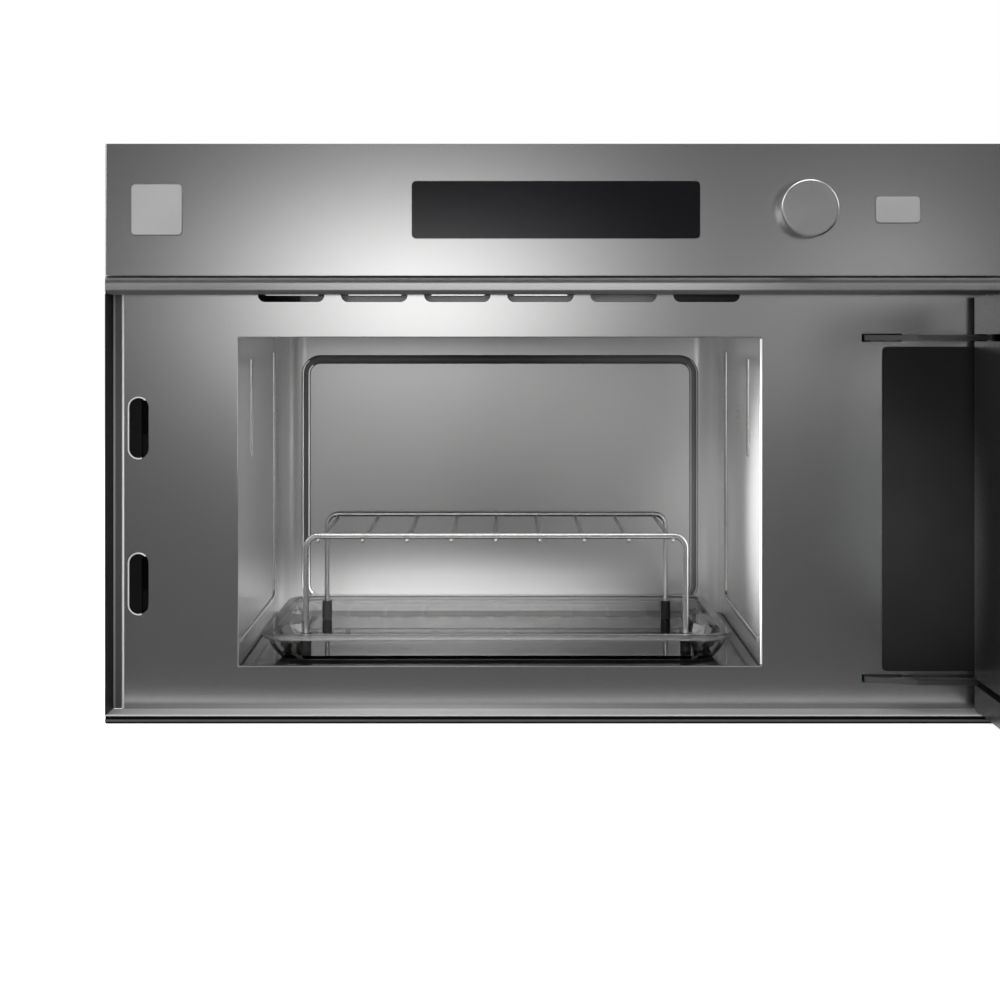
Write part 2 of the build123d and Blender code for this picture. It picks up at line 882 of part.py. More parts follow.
def latch_housing():
    """Moulded box behind the latch slots with a catch under each hook and a way for the slider."""
    z = latch_box_z()
    left = -half_housing + sheet + seat_gap
    front = plate_sheet + latch_flange
    box = block((left, latch_box_right), (front, latch_box_depth), z)
    wall = latch_box_wall
    inner_x = (left + wall, latch_box_right - wall)
    inner_z = (z[0] + wall, z[1] - wall)
    box -= block(inner_x, (front - wall, latch_box_depth - wall), inner_z)
    lip = (latch_slot_x - latch_slot_width / 2 - latch_lip, left + wall)
    box += block(lip, (plate_sheet, front), z)
    for level in hook_levels:
        catch_top = level - hook_stem / 2 - catch_gap
        catch_y = (hook_barb_y - catch_depth - work_gap, hook_barb_y - work_gap)
        box += block(inner_x, catch_y, (catch_top - catch_height, catch_top))
    notch_x = around(slider_x, slider_width + 2 * slide_gap)
    notch_y = (slider_y - slide_gap, slider_y + slider_thickness + slide_gap)
    return box - block(notch_x, notch_y, (z[1] - 2 * wall, z[1] + wall))


def interlock_switches():
    """Three microswitches on the back wall of the latch housing, each with its plunger's nub."""
    back = latch_box_depth - latch_box_wall
    width, depth, height = switch_size
    x = hook_x + hook_thickness / 2 + slide_gap + width / 2 - switch_shift
    face = back - depth
    upper = hook_levels[1] + switch_shift
    group = None
    for z in (hook_levels[0], upper - switch_rise, upper + switch_rise):
        body = block(around(x, width), (face, back), around(z, height))
        nub = block(around(x, switch_nub[0]), (face - switch_nub[1], face), around(z, switch_nub[2]))
        span = around(x, width + 2 * work_gap)
        switch = body + nub
        for level in around(z, switch_hole_pitch):
            switch -= rod("X", back - depth / 2, level, switch_hole_r, span)
        group = switch if group is None else group + switch
    return group


def arm_span(level):
    """Low and high face of the hinge arm at a level."""
    return around(level, arm_thickness)


def arm_outline():
    """Plan of a hinge arm: eye, straight reach, slanted neck through the slot and the root behind it."""
    slope = tan(radians(arm_slope))
    front = pivot_y - arm_half_width
    back = pivot_y + arm_half_width
    root_y = plate_sheet + seat_gap
    neck_x = arm_bend_x - (root_y - back) / slope
    front_bend_x = arm_bend_x - arm_bend_offset
    front_left = front + (front_bend_x - arm_left) * slope
    plan = area(
        (arm_left, front_left),
        (front_bend_x, front),
        (pivot_x, front),
        (pivot_x, back),
        (arm_bend_x, back),
        (neck_x, root_y),
        (arm_root_right, root_y),
        (arm_root_right, arm_root_depth),
        (arm_left, arm_root_depth),
    )
    eye = Pos(pivot_x, pivot_y) * Circle(arm_half_width)
    bore = Pos(pivot_x, pivot_y) * Circle(pin_r + running_gap)
    return plan + eye - bore


def hinge_arm(level):
    """Flat steel arm that carries the door's pin in its eye."""
    return floor_slab(arm_outline(), arm_span(level))


def hinge_bracket():
    """Steel upright behind the plate with a seat under each arm's root and a foot at each end."""
    front = plate_sheet + panel_sheet + slide_gap * 2
    back = arm_root_depth + bracket_edge
    low = arm_span(arm_levels[0])[0] - bracket_low
    high = arm_span(arm_levels[1])[1] + bracket_high
    web_x = (arm_root_right + seat_gap, arm_root_right + seat_gap + bracket_sheet)
    bracket = block(web_x, (front, back), (low, high))
    for level in arm_levels:
        seat = arm_span(level)[0]
        shelf = (arm_left + bracket_shelf_inset, web_x[1])
        bracket += block(shelf, (bracket_shelf_y, back), (seat - bracket_sheet, seat))
    foot_x = (web_x[0], web_x[1] + bracket_foot[0])
    end = bracket_foot[1] - bracket_edge
    for z in ((low - end, low + bracket_edge), (high - bracket_edge, high + end)):
        bracket += block(foot_x, (plate_sheet, plate_sheet + bracket_sheet), z)
        bracket += block(web_x, (plate_sheet, back), z)
    return bracket


def opened(shape):
    """A piece of the door, turned about the hinge pins from shut to its open stop."""
    return Pos(pivot_x, pivot_y) * Rot(0, 0, door_open) * Pos(-pivot_x, -pivot_y) * shape


def arm_pockets(y):
    """Clearance for the arms in a piece of the shut door between two values of Y."""
    height = arm_thickness + 2 * pocket_gap
    span = (pocket_left, pocket_right)
    return [block(span, y, around(level, height)) for level in arm_levels]


def pin_span(level):
    """Low and high end of the hinge pin at a level."""
    return around(level, 2 * pin_half_length)


def door_glass():
    """Outer pane over the whole front of the door."""
    outline = rect((door_left, door_right), (door_low, door_high))
    pane = slab(outline, (front_y, glass_back))
    return chamfer(pane.faces().sort_by(Axis.Y)[0].edges(), glass_chamfer)


def latch_pocket():
    """Room in the latch-side stile for the latch bar and its spring."""
    x = (hook_x - latch_pocket_left, hook_x + latch_pocket_right)
    z = (latch_slot_levels[0] - latch_pocket_low, latch_slot_levels[1] + latch_pocket_high)
    return x, z


def door_frame():
    """Moulded ring behind the pane, with the latch pocket, the arm pockets and the pin bores."""
    x = (door_left + frame_inset, door_right - frame_inset)
    z = (door_low + frame_inset, door_high - frame_inset)
    frame = block(x, (glass_back, frame_back), z)
    inner_edges = frame.edges().filter_by(Axis.Z).group_by(Axis.Y)[-1]
    frame = fillet(inner_edges.sort_by(Axis.X)[-1], inner_corner_r)
    through = (glass_back - work_gap, frame_back + work_gap)
    opening_x = (x[0] + latch_stile, pocket_left - pocket_wall)
    opening_z = (z[0] + frame_wall, z[1] - frame_wall)
    frame -= block(opening_x, through, opening_z)
    window_x = (opening_x[1] + 2 * frame_wall, pivot_x - 2 * frame_wall)
    levels = [pin_span(arm_levels[0])[1] + frame_wall, pin_span(arm_levels[1])[0] - frame_wall]
    half_way = middle(levels)
    for span in ((levels[0], half_way - frame_wall), (half_way + frame_wall, levels[1])):
        frame -= block(window_x, through, span)
    pocket_x, pocket_z = latch_pocket()
    frame -= block(pocket_x, (glass_back + frame_front_wall, through[1]), pocket_z)
    for pocket in arm_pockets((glass_back, through[1])):
        frame -= pocket
    for level in arm_levels:
        frame -= rod("Z", pivot_x, pivot_y, pin_r + running_gap / 2, pin_span(level))
    return frame


def door_cover():
    """Steel sheet on the door's inner side with openings for the choke, the hooks and the arms."""
    x = (door_left + frame_inset, door_right - frame_inset - inner_corner_r)
    z = (door_low + frame_inset, door_high - frame_inset)
    y = (frame_back, door_inner_y)
    cover = block(x, y, z)
    through = (frame_back - work_gap, door_inner_y + work_gap)
    cover -= block(around(cavity_x, choke_width), through, around(cavity_middle_z, choke_height))
    for level in hook_levels:
        low = level - hook_stem / 2 - work_gap
        high = level + hook_stem / 2 + latch_travel + work_gap
        cover -= block(around(hook_x, hook_thickness + 2 * work_gap), through, (low, high))
    for pocket in arm_pockets(through):
        cover -= pocket
    return cover


def door_choke():
    """Pressed channel round the door's window that keeps the microwaves in."""
    y = (choke_front_y, door_inner_y - seat_gap)
    trough_y = (choke_front_y + sheet, 0)
    through = (choke_front_y - work_gap, 0)

    def ring_block(inset, span):
        width = around(cavity_x, choke_width - 2 * inset)
        return block(width, span, around(cavity_middle_z, choke_height - 2 * inset))

    trough = ring_block(sheet, trough_y) - ring_block(choke_channel, trough_y)
    return ring_block(0, y) - trough - ring_block(choke_channel + sheet, through)


def door_screen():
    """Perforated metal sheet over the window, on the front of the choke."""
    width = choke_width - 2 * (choke_channel - screen_lap)
    height = choke_height - 2 * (choke_channel - screen_lap)
    y = (choke_front_y - screen_thickness, choke_front_y)
    return block(around(cavity_x, width), y, around(cavity_middle_z, height))


def choke_cover():
    """Black ring that closes the choke's channel towards the cavity."""
    width = choke_width + 2 * choke_cover_lap
    height = choke_height + 2 * choke_cover_lap
    ring = RectangleRounded(width, height, cover_corner_r)
    inner = choke_channel + sheet
    ring -= Rectangle(choke_width - 2 * inner, choke_height - 2 * inner)
    span = (door_inner_y, door_inner_y + choke_cover_thickness)
    return slab(Pos(cavity_x, cavity_middle_z) * ring, span)


def door_inner_glass():
    """Inner pane inside the choke, level with the cover sheet."""
    inner = choke_channel + sheet + seat_gap
    pane = Rectangle(choke_width - 2 * inner, choke_height - 2 * inner)
    back = door_inner_y - seat_gap
    return slab(Pos(cavity_x, cavity_middle_z) * pane, (back - inner_glass_thickness, back))


def hinge_pins():
    """The two pins, fast in the door and turning in the arms' eyes."""
    pins = [rod("Z", pivot_x, pivot_y, pin_r, pin_span(level)) for level in arm_levels]
    return pins[0] + pins[1]


def latch_bar():
    """Spans of the latch bar that joins both hooks, in X, Y and Z."""
    x = (hook_x - hook_thickness / 2 - latch_bar_side, hook_x + hook_thickness / 2)
    front = glass_back + 2 * frame_front_wall
    low = hook_levels[0] - hook_stem / 2 - 2 * hook_barb
    return x, (front, front + latch_bar_depth), (low, hook_levels[1] + hook_stem / 2 + work_gap * 2)


def door_latch():
    """One moulding with both hooks, which rises against its spring."""
    x = around(hook_x, hook_thickness)
    bar_y = latch_bar()[1]
    latch = block(*latch_bar())
    for level in hook_levels:
        top = level + hook_stem / 2
        base = level - hook_stem / 2
        tip = base - hook_barb
        hook = area(
            (bar_y[1], base),
            (hook_barb_y, base),
            (hook_barb_y, tip),
            (hook_barb_y + hook_barb, tip),
            (hook_reach, base + hook_nose / 2),
            (hook_reach, top - hook_nose),
            (hook_reach - hook_nose, top),
            (bar_y[1], top),
        )
        latch += rail(hook, x)
    return latch


def latch_spring():
    """Coil spring between the latch bar and the pocket's top, which presses the latch down."""
    x, y, z = latch_bar()
    low = z[1] + seat_gap + spring_wire_r
    height = latch_pocket()[1][1] - seat_gap - spring_wire_r - low
    coil = Helix(height / spring_turns, height, spring_r)
    helix = Pos(middle(x) + hook_thickness / 2, middle(y), low) * coil
    start = Plane(origin=helix @ 0, z_dir=helix % 0)
    return sweep(start * Circle(spring_wire_r), path=helix)


def display_window():
    """Dark window, lapped behind the control panel's sheet."""
    lap_front = front_y + panel_sheet
    width = window_width - 2 * seat_gap
    height = window_height - 2 * seat_gap
    face = Pos(0, controls_z) * RectangleRounded(width, height, cover_corner_r - seat_gap)
    lap = Pos(0, controls_z) * Rectangle(window_width + 2 * window_lap, window_height + 2 * window_lap)
    return slab(face, (front_y, lap_front)) + slab(lap, (lap_front, window_back_y))


def display_board():
    """Circuit board on four spacers, with the display module and the start switch."""
    y = (board_y - board_thickness, board_y)
    x = (-window_width / 2 - board_left_end, start_x + board_right_end)
    z = around(controls_z, board_height)
    board = block(x, y, z)
    for px in (x[0] + spacer_inset, x[1] - spacer_inset):
        for pz in (z[0] + spacer_inset, z[1] - spacer_head):
            board += rod("Y", px, pz, spacer_r, (board_y, 0))
    module_x = around(0, window_width - 2 * module_inset)
    module_z = around(controls_z, window_height - 2 * module_lower)
    board += block(module_x, (window_back_y + seat_gap, y[0]), module_z)
    switch = around(start_x, start_switch[0])
    return board + block(switch, (y[0] - start_switch[1], y[0]), around(controls_z, start_switch[0]))


def selector_encoder():
    """Encoder on the board, with the bore that the knob's shaft turns in."""
    back = board_y - board_thickness
    front = back - encoder_size[1]
    body = block(around(knob_x, encoder_size[0]), (front, back), around(controls_z, encoder_size[0]))
    bush = rod("Y", knob_x, controls_z, encoder_bush[0], (front - encoder_bush[1], front))
    bore = (front - encoder_bush[1] - work_gap, back - work_gap / 2)
    return body + bush - rod("Y", knob_x, controls_z, shaft_r + running_gap, bore)


def selector_knob():
    """Turned knob with its shaft and a pointer line."""
    back = front_y - seat_gap
    face = back - knob_depth
    knob = rod("Y", knob_x, controls_z, knob_r, (face, back))
    knob = fillet(knob.edges().sort_by(Axis.Y)[0], knob_edge_r)
    width, length, depth = pointer_size
    high = controls_z + knob_r - pointer_inset
    knob -= block(around(knob_x, width), (face - work_gap, face + depth), (high - length, high))
    end = board_y - board_thickness - work_gap
    return knob + rod("Y", knob_x, controls_z, shaft_r, (back - work_gap, end))


def base_plate():
    """Base pan with upturned edges and the air inlet under the machine bay."""
    x = half_housing - sheet
    z = (0, base_flange)
    pan = block((-x, x), (plate_sheet, back_y - panel_sheet), z)
    inner = x - base_sheet
    y = (plate_sheet + base_sheet, back_y - panel_sheet - base_sheet)
    pan -= block((-inner, inner), y, (base_sheet, base_flange + work_gap))
    slot_y = (filter_y[0] + fan_post_gap, filter_y[1])
    for n in range(intake_count):
        slot_x = around(filter_x[0] + intake_inset + intake_pitch * n, intake_width)
        pan -= block(slot_x, slot_y, (-work_gap, base_sheet + work_gap))
    return pan


def housing_cover():
    """Wrapper of the housing: two sides and the top, with louvres beside the machine bay."""
    front = plate_sheet + latch_flange + seat_gap
    low = base_sheet
    wrap = block((-half_housing, half_housing), (front, back_y - panel_sheet), (low, housing_height))
    wrap = fillet(wrap.edges().filter_by(Axis.Y).group_by(Axis.Z)[-1], plate_edge_r)
    inner = half_housing - sheet
    core_z = (low - work_gap, housing_height - sheet)
    wrap -= block((-inner, inner), (front - work_gap, back_y), core_z)
    through = (inner - work_gap, half_housing + work_gap)
    louvre_high = housing_height - louvre_drop
    for n in range(louvre_count):
        y = around(louvre_y + louvre_pitch * n, louvre_width)
        wrap -= block(through, y, (louvre_high - louvre_height, louvre_high))
    return wrap


def back_screws():
    """Places of the back panel's screws, in X and Z."""
    x = half_housing - screw_inset
    low, high = base_flange / 2, housing_height - screw_drop
    return [(-x, low), (0.0, low), (x, low), (-x, high), (0.0, high), (x, high)]


def back_panel():
    """Back sheet with the air outlet behind the fan, the cable gland's hole and screw holes."""
    y = (back_y - panel_sheet, back_y)
    panel = block((-half_housing, half_housing), y, (base_sheet, housing_height))
    through = (y[0] - work_gap, y[1] + work_gap)
    for row in range(outlet_rows):
        z = fan_z + (row - (outlet_rows - 1) / 2) * outlet_pitch
        panel -= block(around(fan_x, outlet_slot[0]), through, around(z, outlet_slot[1]))
    panel -= rod("Y", gland_x, gland_z, gland_r + running_gap, through)
    for x, z in back_screws():
        panel -= rod("Y", x, z, screw_r + running_gap, through)
    return panel


def housing_screws():
    """Screws of the back panel: a bevelled head and a plain shank each."""
    group = None
    for x, z in back_screws():
        head = rod("Y", x, z, screw_head_r, (back_y, back_y + screw_head))
        head = chamfer(head.edges().sort_by(Axis.Y)[-1], screw_head / 2)
        screw = head + rod("Y", x, z, screw_r, (back_y - panel_sheet, back_y))
        group = screw if group is None else group + screw
    return group


def cable_gland():
    """Moulded gland that the mains lead passes through."""
    inside = back_y - panel_sheet
    span = (inside - gland_inside, back_y + gland_proud)
    gland = rod("Y", gland_x, gland_z, gland_r, span)
    gland += rod("Y", gland_x, gland_z, gland_r + gland_collar, (back_y, span[1]))
    gland += rod("Y", gland_x, gland_z, gland_r + gland_nut, (inside - gland_collar, inside))
    return gland - rod("Y", gland_x, gland_z, gland_bore_r, (span[0] - work_gap, span[1] + work_gap))


def stirrer_cover():
    """Mica plate over the feed's port in the ceiling."""
    width = stirrer_port[0] + 2 * port_cover_lap
    depth = stirrer_port[1] + 2 * port_cover_lap
    plate = Pos(cavity_x, stirrer_y) * Rectangle(width, depth)
    return floor_slab(plate, (ceiling_z, ceiling_z + port_cover_thickness))


def feed_plan(wall):
    """Plan of the stirrer chamber and of the duct to the magnetron, wall larger all round."""
    width = 2 * (chamber_half_width + wall)
    depth = 2 * (chamber_half_depth + wall)
    chamber = Pos(cavity_x, stirrer_y) * Rectangle(width, depth)
    span = (cavity_x, magnetron_x + feed_end + wall)
    duct = rect(span, around(stirrer_y, 2 * (feed_half_depth + wall)))
    return chamber + duct


def waveguide():
    """Sheet duct from the magnetron to the stirrer chamber, which is open over the port."""
    duct = floor_slab(feed_plan(feed_wall), (ceiling_z, feed_top + feed_wall))
    duct -= floor_slab(feed_plan(0), (ceiling_z + feed_wall, feed_top))
    chamber = Rectangle(2 * chamber_half_width, 2 * chamber_half_depth)
    below = ceiling_z - work_gap
    duct -= floor_slab(Pos(cavity_x, stirrer_y) * chamber, (below, feed_top))
    floor = (below, ceiling_z + feed_wall + work_gap)
    duct -= rod("Z", magnetron_x, stirrer_y, antenna_r + antenna_gap, floor)
    top = (feed_top - work_gap, feed_top + feed_wall + work_gap)
    return duct - rod("Z", cavity_x, stirrer_y, shaft_r + slide_gap, top)


def stirrer():
    """Mode stirrer: four pitched blades on a shaft that hangs from its motor."""
    z = (ceiling_z + stirrer_level, ceiling_z + stirrer_level + stirrer_height)
    wheel = rod("Z", cavity_x, stirrer_y, stirrer_hub_r, z)
    start = stirrer_hub_r * 2 / 3
    length = stirrer_r - start
    blade = Rot(stirrer_pitch, 0, 0) * Box(length, *stirrer_blade)
    for n in range(stirrer_blades):
        turn = Pos(cavity_x, stirrer_y) * Rot(0, 0, 360 / stirrer_blades * n)
        wheel += turn * Pos(start + length / 2, 0, middle(z)) * blade
    shaft_end = feed_top + feed_wall + stirrer_shaft_end
    return wheel + rod("Z", cavity_x, stirrer_y, shaft_r, (z[1], shaft_end))


def stirrer_motor():
    """Flat synchronous motor on the waveguide, which the stirrer's shaft turns in."""
    base = feed_top + feed_wall
    motor = rod("Z", cavity_x, stirrer_y, stirrer_motor_r, (base, base + stirrer_motor_height))
    motor = chamfer(motor.edges().sort_by(Axis.Z)[-1], button_lap)
    length, width, thickness = motor_tab
    for side in (-1, 1):
        x = cavity_x + side * (stirrer_motor_r + motor_tab_reach)
        motor += block(around(x, length), around(stirrer_y, width), (base, base + thickness))
    bore = (base - work_gap, base + stirrer_shaft_end + lift_gap)
    return motor - rod("Z", cavity_x, stirrer_y, shaft_r + running_gap, bore)


def magnetron():
    """Magnetron: open yoke, core with cooling fins, filter box, flange and antenna."""
    width, depth, height = magnetron_size
    x = around(magnetron_x, width)
    y = around(stirrer_y, depth)
    z = (magnetron_high - height, magnetron_high)
    wall = magnetron_wall
    body = block(x, y, z)
    core_y = (y[0] - work_gap, y[1] + work_gap)
    body -= block((x[0] + wall, x[1] - wall), core_y, (z[0] + wall, z[1] - wall))
    body += rod("Z", magnetron_x, stirrer_y, magnetron_core_r, z)
    fin_y = (y[0] + magnetron_fin_inset, y[1] - magnetron_fin_inset)
    for n in range(magnetron_fins):
        level = middle(z) + (n - (magnetron_fins - 1) / 2) * magnetron_fin_pitch
        body += block(x, fin_y, around(level, sheet))
    box_x = (x[0] + magnetron_box_inset, x[1] - magnetron_box_inset)
    body += block(box_x, fin_y, (magnetron_low, z[0]))
    flange_x = around(magnetron_x, magnetron_flange[0])
    body += block(flange_x, around(stirrer_y, magnetron_flange[1]), (magnetron_high, ceiling_z))
    dome = rod("Z", magnetron_x, stirrer_y, antenna_r, (ceiling_z, ceiling_z + antenna_height))
    return body + chamfer(dome.edges().sort_by(Axis.Z)[-1], antenna_r / 2)


def grill_reflector():
    """Folded reflector over the grill slots of the ceiling."""
    box = Pos(cavity_x, grill_y) * Rectangle(grill_width, grill_depth)
    hood = floor_slab(box, (ceiling_z, ceiling_z + grill_height))
    inner = Pos(cavity_x, grill_y) * Rectangle(grill_width - 2 * sheet, grill_depth - 2 * sheet)
    return hood - floor_slab(inner, (ceiling_z - work_gap, ceiling_z + grill_height - sheet))


def grill_tubes():
    """Two quartz tubes with ceramic ends that rest in the reflector's end walls."""
    z = ceiling_z + grill_height / 2
    x = around(cavity_x, grill_width - 2 * sheet)
    length, proud = grill_tube_end
    tubes = None
    for y in around(grill_y, grill_tube_pitch):
        tube = rod("X", y, z, grill_tube_r, x)
        for end in ((x[0], x[0] + length), (x[1] - length, x[1])):
            tube += rod("X", y, z, grill_tube_r + proud, end)
        tubes = tube if tubes is None else tubes + tube
    return tubes


def beside_wall(y, depth):
    """Near face of a piece of the given depth against the outside of the right wall at y."""
    return wall_x(1, y + depth / 2) + sheet + seat_gap


def lamp_holder():
    """Box behind the lamp's perforations, open to the wall."""
    reach, width = lamp_box
    wall = lamp_box_wall
    x = beside_wall(lamp_y, width)
    inner = width - 2 * wall
    box = block((x, x + reach), around(lamp_y, width), around(lamp_z, width))
    hollow = (x - work_gap, x + reach - wall)
    return box - block(hollow, around(lamp_y, inner), around(lamp_z, inner))


def lamp():
    """Small bulb on the end wall of its holder."""
    x = beside_wall(lamp_y, lamp_box[1])
    start = x + bulb_start
    socket_r, socket_start = bulb_socket
    end = x + lamp_box[0] - lamp_box_wall
    bulb = rod("X", lamp_y, lamp_z, bulb_r, (start, x + socket_start))
    bulb += Pos(start, lamp_y, lamp_z) * Sphere(bulb_r)
    return bulb + rod("X", lamp_y, lamp_z, socket_r, (x + socket_start, end))


def air_duct():
    """Moulded duct that leads the magnetron's warm air to the perforations low in the wall."""
    reach, width = duct_size
    wall = duct_wall
    x = beside_wall(air_y, width)
    low = cavity_floor + floor_bead_rise + wall_bead_mouth
    high = magnetron_low
    outer = block((x, x + reach), around(air_y, width), (low, high))
    hollow = (x - work_gap, x + reach - wall)
    inner = block(hollow, around(air_y, width - 2 * wall), (low + wall, high - wall))
    length, height, edge = duct_elbow
    elbow_x = (x + edge, x + edge + length)
    elbow_z = (high - edge - height, high - edge)
    elbow = block(elbow_x, (air_y, air_y + width / 2 + work_gap), elbow_z)
    return outer - inner - elbow


def thermal_cutouts():
    """Two button thermostats on the cavity's ceiling."""
    x = cavity_left + cutout_inset
    r, height = cutout_disc
    top = ceiling_z + height
    length, width, thickness = cutout_tabs
    group = None
    for y in around(stirrer_y, 2 * cutout_half_pitch):
        cutout = rod("Z", x, y, r, (ceiling_z, top))
        cutout += block(around(x, length), around(y, width), (top, top + thickness))
        group = cutout if group is None else group + cutout
    return group


def fan_housing():
    """Square fan frame with its round throat, on two posts that stand on the base."""
    y = (fan_y, fan_y + fan_depth)
    frame = block(around(fan_x, fan_frame), y, around(fan_z, fan_frame))
    frame -= rod("Y", fan_x, fan_z, fan_bore_r, (y[0] - work_gap, y[1] + work_gap))
    for side in (-1, 1):
        near = fan_x + side * (filter_size[0] / 2 + fan_post_gap)
        post = sorted((near, near + side * fan_post))
        frame += block(post, y, (base_sheet, fan_z))
    return frame


def fan_motor():
    """Fan motor on three struts behind the frame, with its shaft."""
    back = fan_y + fan_depth
    motor = rod("Y", fan_x, fan_z, fan_motor_r, (back, back + fan_motor_depth))
    strut = Pos(0, 0, fan_strut_reach) * Box(*fan_strut)
    for n in range(3):
        motor += Pos(fan_x, back + fan_strut[1] / 2, fan_z) * Rot(0, 120 * n, 0) * strut
    return motor + rod("Y", fan_x, fan_z, fan_shaft_r, (fan_y + 2 * rotor_inset, back))


def fan_rotor():
    """Axial fan wheel with pitched blades, which turns on the motor's shaft."""
    y = (fan_y + rotor_inset, fan_y + fan_depth - rotor_inset)
    wheel = rod("Y", fan_x, fan_z, rotor_hub_r, y)
    start = rotor_hub_r - rotor_inset
    length = rotor_r - start
    blade = Pos(0, 0, start + length / 2) * Rot(0, 0, rotor_pitch) * Box(*rotor_blade, length)
    for n in range(rotor_blades):
        wheel += Pos(fan_x, middle(y), fan_z) * Rot(0, 360 / rotor_blades * n, 0) * blade
    bore = (fan_y + 2 * rotor_inset - work_gap, y[1] + work_gap)
    return wheel - rod("Y", fan_x, fan_z, fan_shaft_r + running_gap, bore)


def circuit_board(x, y):
    """Board on four posts above the base."""
    low = base_sheet + board_standoff
    board = block(x, y, (low, board_top))
    for px in (x[0] + board_post_inset, x[1] - board_post_inset):
        for py in (y[0] + board_post_inset, y[1] - board_post_inset):
            board += rod("Z", px, py, spacer_r, (base_sheet, low))
    return board


def on_board(x, y, place, size):
    """Box that stands on a board; place and size are its corner from the board's own and its sides."""
    spans = [(start + shift, start + shift + side) for start, shift, side in zip((x[0], y[0]), place, size)]
    return block(*spans, (board_top, board_top + size[2]))


def inverter_board():
    """Power supply board with its two capacitors and driver block."""
    board = circuit_board(inverter_x, inverter_y)
    for y in capacitor_ys:
        place = (inverter_x[0] + capacitor_x, inverter_y[0] + y)
        board += rod("Z", *place, capacitor_size[0], (board_top, board_top + capacitor_size[1]))
    return board + on_board(inverter_x, inverter_y, driver_place, driver_size)


def inverter_heatsink():
    """Finned aluminium heat sink on the power supply board."""
    sink = on_board(inverter_x, inverter_y, sink_place, sink_size)
    width, length, height = sink_size
    fin_x, fin_y = sink_place[0] + width, sink_place[1] + sink_fin
    pitch = (length - 3 * sink_fin) / (sink_fins - 1)
    for n in range(sink_fins):
        place = (fin_x, fin_y + pitch * n)
        sink += on_board(inverter_x, inverter_y, place, (sink_fin_reach, sink_fin, height))
    return sink


def inverter_transformer():
    """Ferrite transformer: a core with its window and the winding through it."""
    width, length, height = transformer_size
    limb = transformer_limb
    core = on_board(inverter_x, inverter_y, transformer_place, transformer_size)
    x = (inverter_x[0] + transformer_place[0] + limb, inverter_x[0] + transformer_place[0] + width - limb)
    y = (inverter_y[0] + transformer_place[1], inverter_y[0] + transformer_place[1] + length)
    window = (board_top + limb, board_top + height - limb)
    core -= block(x, (y[0] - work_gap, y[1] + work_gap), window)
    return core + rod("X", middle(y), middle(window), winding_r, x)


def filter_board():
    """Mains filter board with its ring coil, capacitor and fuse."""
    board = circuit_board(filter_x, filter_y)
    x, y = filter_x[0] + coil_place[0], filter_y[0] + coil_place[1]
    outer, inner, height = coil_size
    coil = rod("Z", x, y, outer, (board_top, board_top + height))
    coil = chamfer(coil.edges().filter_by(GeomType.CIRCLE), coil_edge)
    coil -= rod("Z", x, y, inner, (board_top - work_gap, board_top + height + work_gap))
    board += coil + on_board(filter_x, filter_y, mains_capacitor_place, mains_capacitor_size)
    r, length = fuse_size
    start = filter_x[0] + fuse_place[0]
    fuse_y = filter_y[0] + fuse_place[1]
    return board + rod("X", fuse_y, board_top + r - lift_gap, r, (start, start + length))


def tray_section(grow, z):
    """Rounded rectangle of the tray's outside at a height, grow larger all round."""
    rise = min(z - tray_base, tray_height - tray_rim) / (tray_height - tray_rim)
    taper = tray_taper * (1 - rise) ** 1.6
    width = tray_width - 2 * (tray_rim_lip + taper - grow)
    depth = tray_depth - 2 * (tray_rim_lip + taper - grow)
    corner = max(tray_corner_r - tray_rim_lip - taper / 2 + grow, 2.0)
    return Pos(tray_x, tray_y, z) * RectangleRounded(width, depth, corner)


def tray_bowl(grow, low, high):
    """Stack of lofted steps between two heights that follows the tray's rounded foot."""
    steps = [low + (high - low) * share for share in (0, 0.15, 0.45, 1)]
    sections = [tray_section(grow, z).face() for z in steps]
    return loft(sections)


def glass_tray():
    """Pressed glass tray with a rim, a rounded foot and a raised grip at each end."""
    rim_low = tray_base + tray_height - tray_rim
    top = tray_base + tray_height
    tray = tray_bowl(0, tray_base, rim_low)
    rim = Pos(tray_x, tray_y) * RectangleRounded(tray_width, tray_depth, tray_corner_r)
    tray += floor_slab(rim, (rim_low, top))
    tray -= tray_bowl(-tray_glass, tray_base + tray_glass, rim_low)
    mouth = Pos(0, 0, -rim_low) * tray_section(-tray_glass, rim_low)
    tray -= floor_slab(mouth, (rim_low, top + work_gap))
    low = tray_base + tray_glass - lift_gap
    high = tray_base + tray_glass + grip_rise
    for side in (-1, 1):
        foot = Pos(0, 0, low) * grip_outline(side, 0)
        crown = Pos(0, 0, high) * grip_outline(side, grip_draft)
        grip = loft([foot.face(), crown.face()])
        tray += grip & tray_bowl(-tray_glass / 2, tray_base + work_gap, rim_low)
    return tray


def grip_outline(side, draft):
    """Plan of a grip at one end of the tray, drawn in by its draft."""
    outer = tray_x + side * (tray_width / 2 - tray_rim_lip - tray_glass + work_gap)
    inner = outer - side * (grip_width - draft / 2)
    half = grip_length / 2 - draft
    inner_half = half - grip_shoulder + draft / 3
    return area(
        (outer, tray_y - half),
        (inner, tray_y - inner_half),
        (inner, tray_y + inner_half),
        (outer, tray_y + half),
    )


def rack_frame(y):
    """Upturned U of wire, with its legs standing in their feet."""
    half = rack_width / 2
    low = foot_low + foot_base
    points = [
        (rack_x - half, y, low),
        (rack_x - half, y, rack_bar_z),
        (rack_x + half, y, rack_bar_z),
        (rack_x + half, y, low),
    ]
    return wire_sweep(points, rack_bend_r, rack_wire_r)


